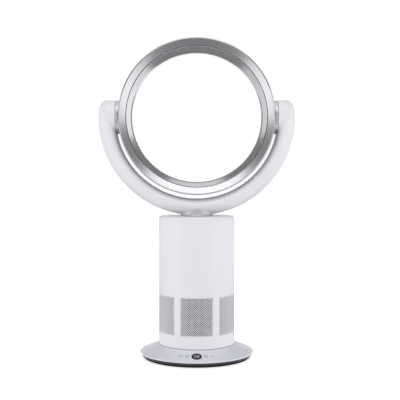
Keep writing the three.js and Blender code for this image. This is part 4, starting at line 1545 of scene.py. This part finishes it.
@dataclass(frozen=True)
class Card:
    """A flat card that only shows in reflections, square to an axis; sizes in metres."""

    name: str
    facing: Axis
    at: float
    first: tuple[float, float]
    second: tuple[float, float]
    tone: float

    def mesh(self) -> bmesh.types.BMesh:
        """The card's rectangle, in millimetres.

        Returns:
            The mesh.
        """
        mesh = bmesh.new()
        bmesh.ops.create_grid(mesh, x_segments=1, y_segments=1, size=0.5)
        (left, right), (low, high) = self.first, self.second
        middle = ((left + right) / 2, (low + high) / 2)
        sized = Matrix.Diagonal((right - left, high - low, 1, 1))
        turns = {
            Axis.Z: Matrix.Identity(4),
            Axis.X: Matrix(((0, 0, 1, 0), (1, 0, 0, 0), (0, 1, 0, 0), (0, 0, 0, 1))),
            Axis.Y: Matrix(((1, 0, 0, 0), (0, 0, 1, 0), (0, 1, 0, 0), (0, 0, 0, 1))),
        }
        place = turns[self.facing] @ Matrix.Translation((*middle, self.at)) @ sized
        return moved(mesh, Matrix.Scale(1 / METRES_PER_MM, 4) @ place)


@dataclass(frozen=True)
class Lamp:
    """A soft rectangular lamp that lights the fan, in metres."""

    name: str
    at: tuple[float, float, float]
    aim: tuple[float, float, float]
    size: tuple[float, float]
    light: float


# The tone of the dark cards and the tent: a deep grey that draws the silver's dark streaks.
DARK = 0.24

CARDS = (
    Card("floor_card_front", Axis.Z, 0.001, (-0.52, 0.52), (-4.5, -0.3), DARK),
    Card("floor_card_back", Axis.Z, 0.001, (-0.52, 0.52), (0.15, 4.5), DARK),
    Card("floor_card_front_left", Axis.Z, 0.001, (-4.5, -0.52), (-4.5, 0.0), 1.15),
    Card("floor_card_front_right", Axis.Z, 0.001, (0.52, 4.5), (-4.5, 0.0), 1.15),
    Card("floor_card_back_left", Axis.Z, 0.001, (-4.5, -0.52), (0.02, 4.5), 0.72),
    Card("floor_card_back_right", Axis.Z, 0.001, (0.52, 4.5), (0.02, 4.5), 0.98),
    Card("top_card_front", Axis.Z, 1.95, (-1.15, 1.15), (-1.9, -0.1), 1.55),
    Card("top_card_back", Axis.Z, 1.95, (-0.55, 0.55), (0.1, 1.9), 0.85),
    Card("left_card_front", Axis.X, -1.3, (-1.6, 0.0), (0.01, 0.72), 1.55),
    Card("right_card_front", Axis.X, 1.3, (-1.6, 0.0), (0.01, 0.72), 1.55),
    Card("left_card_back", Axis.X, -1.3, (0.0, 1.6), (0.01, 1.0), 0.9),
    Card("right_card_back", Axis.X, 1.3, (0.0, 1.6), (0.01, 1.05), 1.2),
    Card("front_card", Axis.Y, -3.0, (-0.8, 0.8), (0.03, 0.55), 1.0),
)

LAMPS = (
    Lamp("top", (0, 0, 1.97), (0, 0, 0), (2.1, 3.2), 0.75),
    Lamp("left", (-1.32, 0, 0.34), (0, 0, 0.34), (3.2, 0.66), 1.1),
    Lamp("right", (1.32, 0, 0.34), (0, 0, 0.34), (3.2, 0.66), 1.1),
    Lamp("front", (0, -3.1, 0.6), (0, 0, 0.3), (2.2, 1.2), 2.6),
    Lamp("back", (0, 3.1, 0.8), (0, 0, 0.3), (2.2, 1.2), 2.2),
)


@dataclass
class Studio:
    """The camera, the pale floor, the lamps and the cards that the silver mirrors."""

    camera_place: tuple[float, float, float] = (0.0, -1.490, 0.333)
    camera_shift: tuple[float, float] = (0.00825, -0.04625)
    lens: float = 70.2
    floor_radius: float = 60.0
    floor_colour: str = "#E6E6E8"
    floor_lift: float = 0.6
    fill: float = 0.54
    disc_sides: int = 96
    # The disc under the base is a painted shadow, seen only in reflections.
    base_card_radius: float = 108.0
    base_card_height: float = 0.5
    base_shadow_tone: float = 0.02
    tent_radius: float = 4600.0
    tent_opening: float = 4300.0
    tent_foot: float = 2.0

    def camera(self) -> None:
        """Sets the camera where the photograph was taken from."""
        data = bpy.data.cameras.new("camera")
        data.lens, data.sensor_width = self.lens, 36.0
        made = bpy.data.objects.new("camera", data)
        bpy.context.scene.collection.objects.link(made)
        made.location = self.camera_place
        made.rotation_euler = (math.pi / 2, 0, 0)
        data.shift_x, data.shift_y = self.camera_shift
        bpy.context.scene.camera = made

    def sees_backdrop(self, tree: bpy.types.NodeTree) -> bpy.types.NodeSocket:
        """One for rays from the camera, mirrored rays and rays through glass.

        Args:
            tree: The material's or the world's tree.

        Returns:
            The factor's socket.
        """
        path = add_node(tree, "ShaderNodeLightPath")
        seen = path.outputs["Is Camera Ray"]
        for ray in ("Is Glossy Ray", "Is Transmission Ray"):
            links = {0: seen, 1: path.outputs[ray]}
            seen = add_node(tree, "ShaderNodeMath", links=links, operation="MAXIMUM").outputs[0]
        return seen

    def world(self) -> None:
        """A white surround that lights the fan softly."""
        made = bpy.data.worlds.new("surround")
        tree = cleared(made)
        seen = {"Value": self.sees_backdrop(tree)}
        strength = add_node(tree, "ShaderNodeMapRange", {"To Min": self.fill, "To Max": 1.0}, seen)
        light = add_node(
            tree, "ShaderNodeBackground", {"Color": WHITE}, {"Strength": strength.outputs["Result"]}
        )
        add_node(tree, "ShaderNodeOutputWorld", links={"Surface": light.outputs["Background"]})
        bpy.context.scene.world = made

    def disc(self, radius: float) -> bmesh.types.BMesh:
        """A flat disc on the table.

        Args:
            radius: Its radius, in millimetres.

        Returns:
            The mesh.
        """
        mesh = bmesh.new()
        bmesh.ops.create_circle(mesh, cap_ends=True, segments=self.disc_sides, radius=radius)
        return mesh

    def floor(self) -> None:
        """The pale floor, which shows white away from the fan's shadow."""
        made = shown("floor", self.disc(self.floor_radius / METRES_PER_MM))
        paper = bpy.data.materials.new("floor_paper_matt")
        tree = cleared(paper)
        seen = {"Value": self.sees_backdrop(tree)}
        lift = add_node(tree, "ShaderNodeMapRange", {"To Max": self.floor_lift}, seen)
        matt = add_node(tree, "ShaderNodeBsdfDiffuse", {"Color": linear(self.floor_colour)})
        glow = add_node(tree, "ShaderNodeEmission", {"Color": WHITE}, {"Strength": lift.outputs["Result"]})
        both = add_node(tree, "ShaderNodeAddShader", links={0: matt.outputs[0], 1: glow.outputs[0]})
        add_node(tree, "ShaderNodeOutputMaterial", links={"Surface": both.outputs[0]})
        made.data.materials.append(paper)

    def card(self, name: str, mesh: bmesh.types.BMesh, tone: float) -> None:
        """Hangs a card that only shows in reflections.

        Args:
            name: The card's name.
            mesh: Its shape, in millimetres.
            tone: How bright it is; 1 is white.
        """
        made = shown(name, mesh)
        paper = bpy.data.materials.new(f"{name}_paper")
        tree = cleared(paper)
        glow = add_node(tree, "ShaderNodeEmission", {"Color": (tone, tone, tone, 1.0)})
        add_node(tree, "ShaderNodeOutputMaterial", links={"Surface": glow.outputs[0]})
        paper.cycles.emission_sampling = "NONE"
        made.data.materials.append(paper)
        made.visible_camera = False
        made.visible_diffuse = False
        made.visible_shadow = False
        made.visible_transmission = False

    def cards(self) -> None:
        """The cards, a near-black disc under the base that is a painted shadow, and a dark tent round them
        that is open behind the fan.
        """
        for card in CARDS:
            self.card(card.name, card.mesh(), card.tone)
        # The near-black disc under the base is a painted shadow. In reflections it stands in for the base's
        # shadow on the floor, which the floor's glow would otherwise lift.
        raised = Matrix.Translation((0, 0, self.base_card_height))
        under = moved(self.disc(self.base_card_radius), raised)
        self.card("painted_base_shadow_card", under, self.base_shadow_tone)
        tent = bmesh.new()
        bmesh.ops.create_uvsphere(tent, u_segments=48, v_segments=24, radius=self.tent_radius)
        cuts = (((0, self.tent_opening, 0), (0, 1, 0)), ((0, 0, self.tent_foot), (0, 0, -1)))
        for place, outwards in cuts:
            whole = [*tent.verts, *tent.edges, *tent.faces]
            bmesh.ops.bisect_plane(tent, geom=whole, plane_co=place, plane_no=outwards, clear_outer=True)
        self.card("tent_card", tent, DARK)

    def light(self) -> None:
        """The soft lamps, which the cards stand in for in reflections."""
        for lamp in LAMPS:
            data = bpy.data.lights.new(lamp.name, "AREA")
            data.shape = "RECTANGLE"
            data.size, data.size_y = lamp.size
            data.energy = lamp.light * math.pi * data.size * data.size_y
            made = bpy.data.objects.new(f"lamp_{lamp.name}", data)
            bpy.context.scene.collection.objects.link(made)
            made.location = lamp.at
            aim = Vector(lamp.aim) - Vector(lamp.at)
            made.rotation_euler = aim.to_track_quat("-Z", "Y").to_euler()
            made.visible_camera = False
            made.visible_glossy = False

    def build(self) -> None:
        """Sets the studio up."""
        self.camera()
        self.world()
        self.floor()
        self.cards()
        self.light()
        bpy.context.scene.view_settings.view_transform = "Standard"


def dress_inner_pieces() -> None:
    """Gives every frame node that stays the finish of its slot; the black ones take a darker, duller copy
    of the black, which is painted shade.
    """
    slots = {part["node"]: part["material_slot"] for part in frame["record"]["subparts"]}
    for name, node in frame["nodes"].items():
        finish = SHADED_BLACK_ABS if slots[name] == "black_plastic" else FINISHES[slots[name]]
        node.data.materials.clear()
        node.data.materials.append(finish.material())


def main() -> None:
    """Builds the fan and the studio."""
    logging.basicConfig(level=logging.INFO, format="%(name)s: %(message)s")
    Studio().build()
    dress_inner_pieces()
    Base().build()
    yoke = Yoke()
    Tower().build(yoke)
    yoke.build()
    Nozzle().build()


if __name__ == "__main__":
    main()
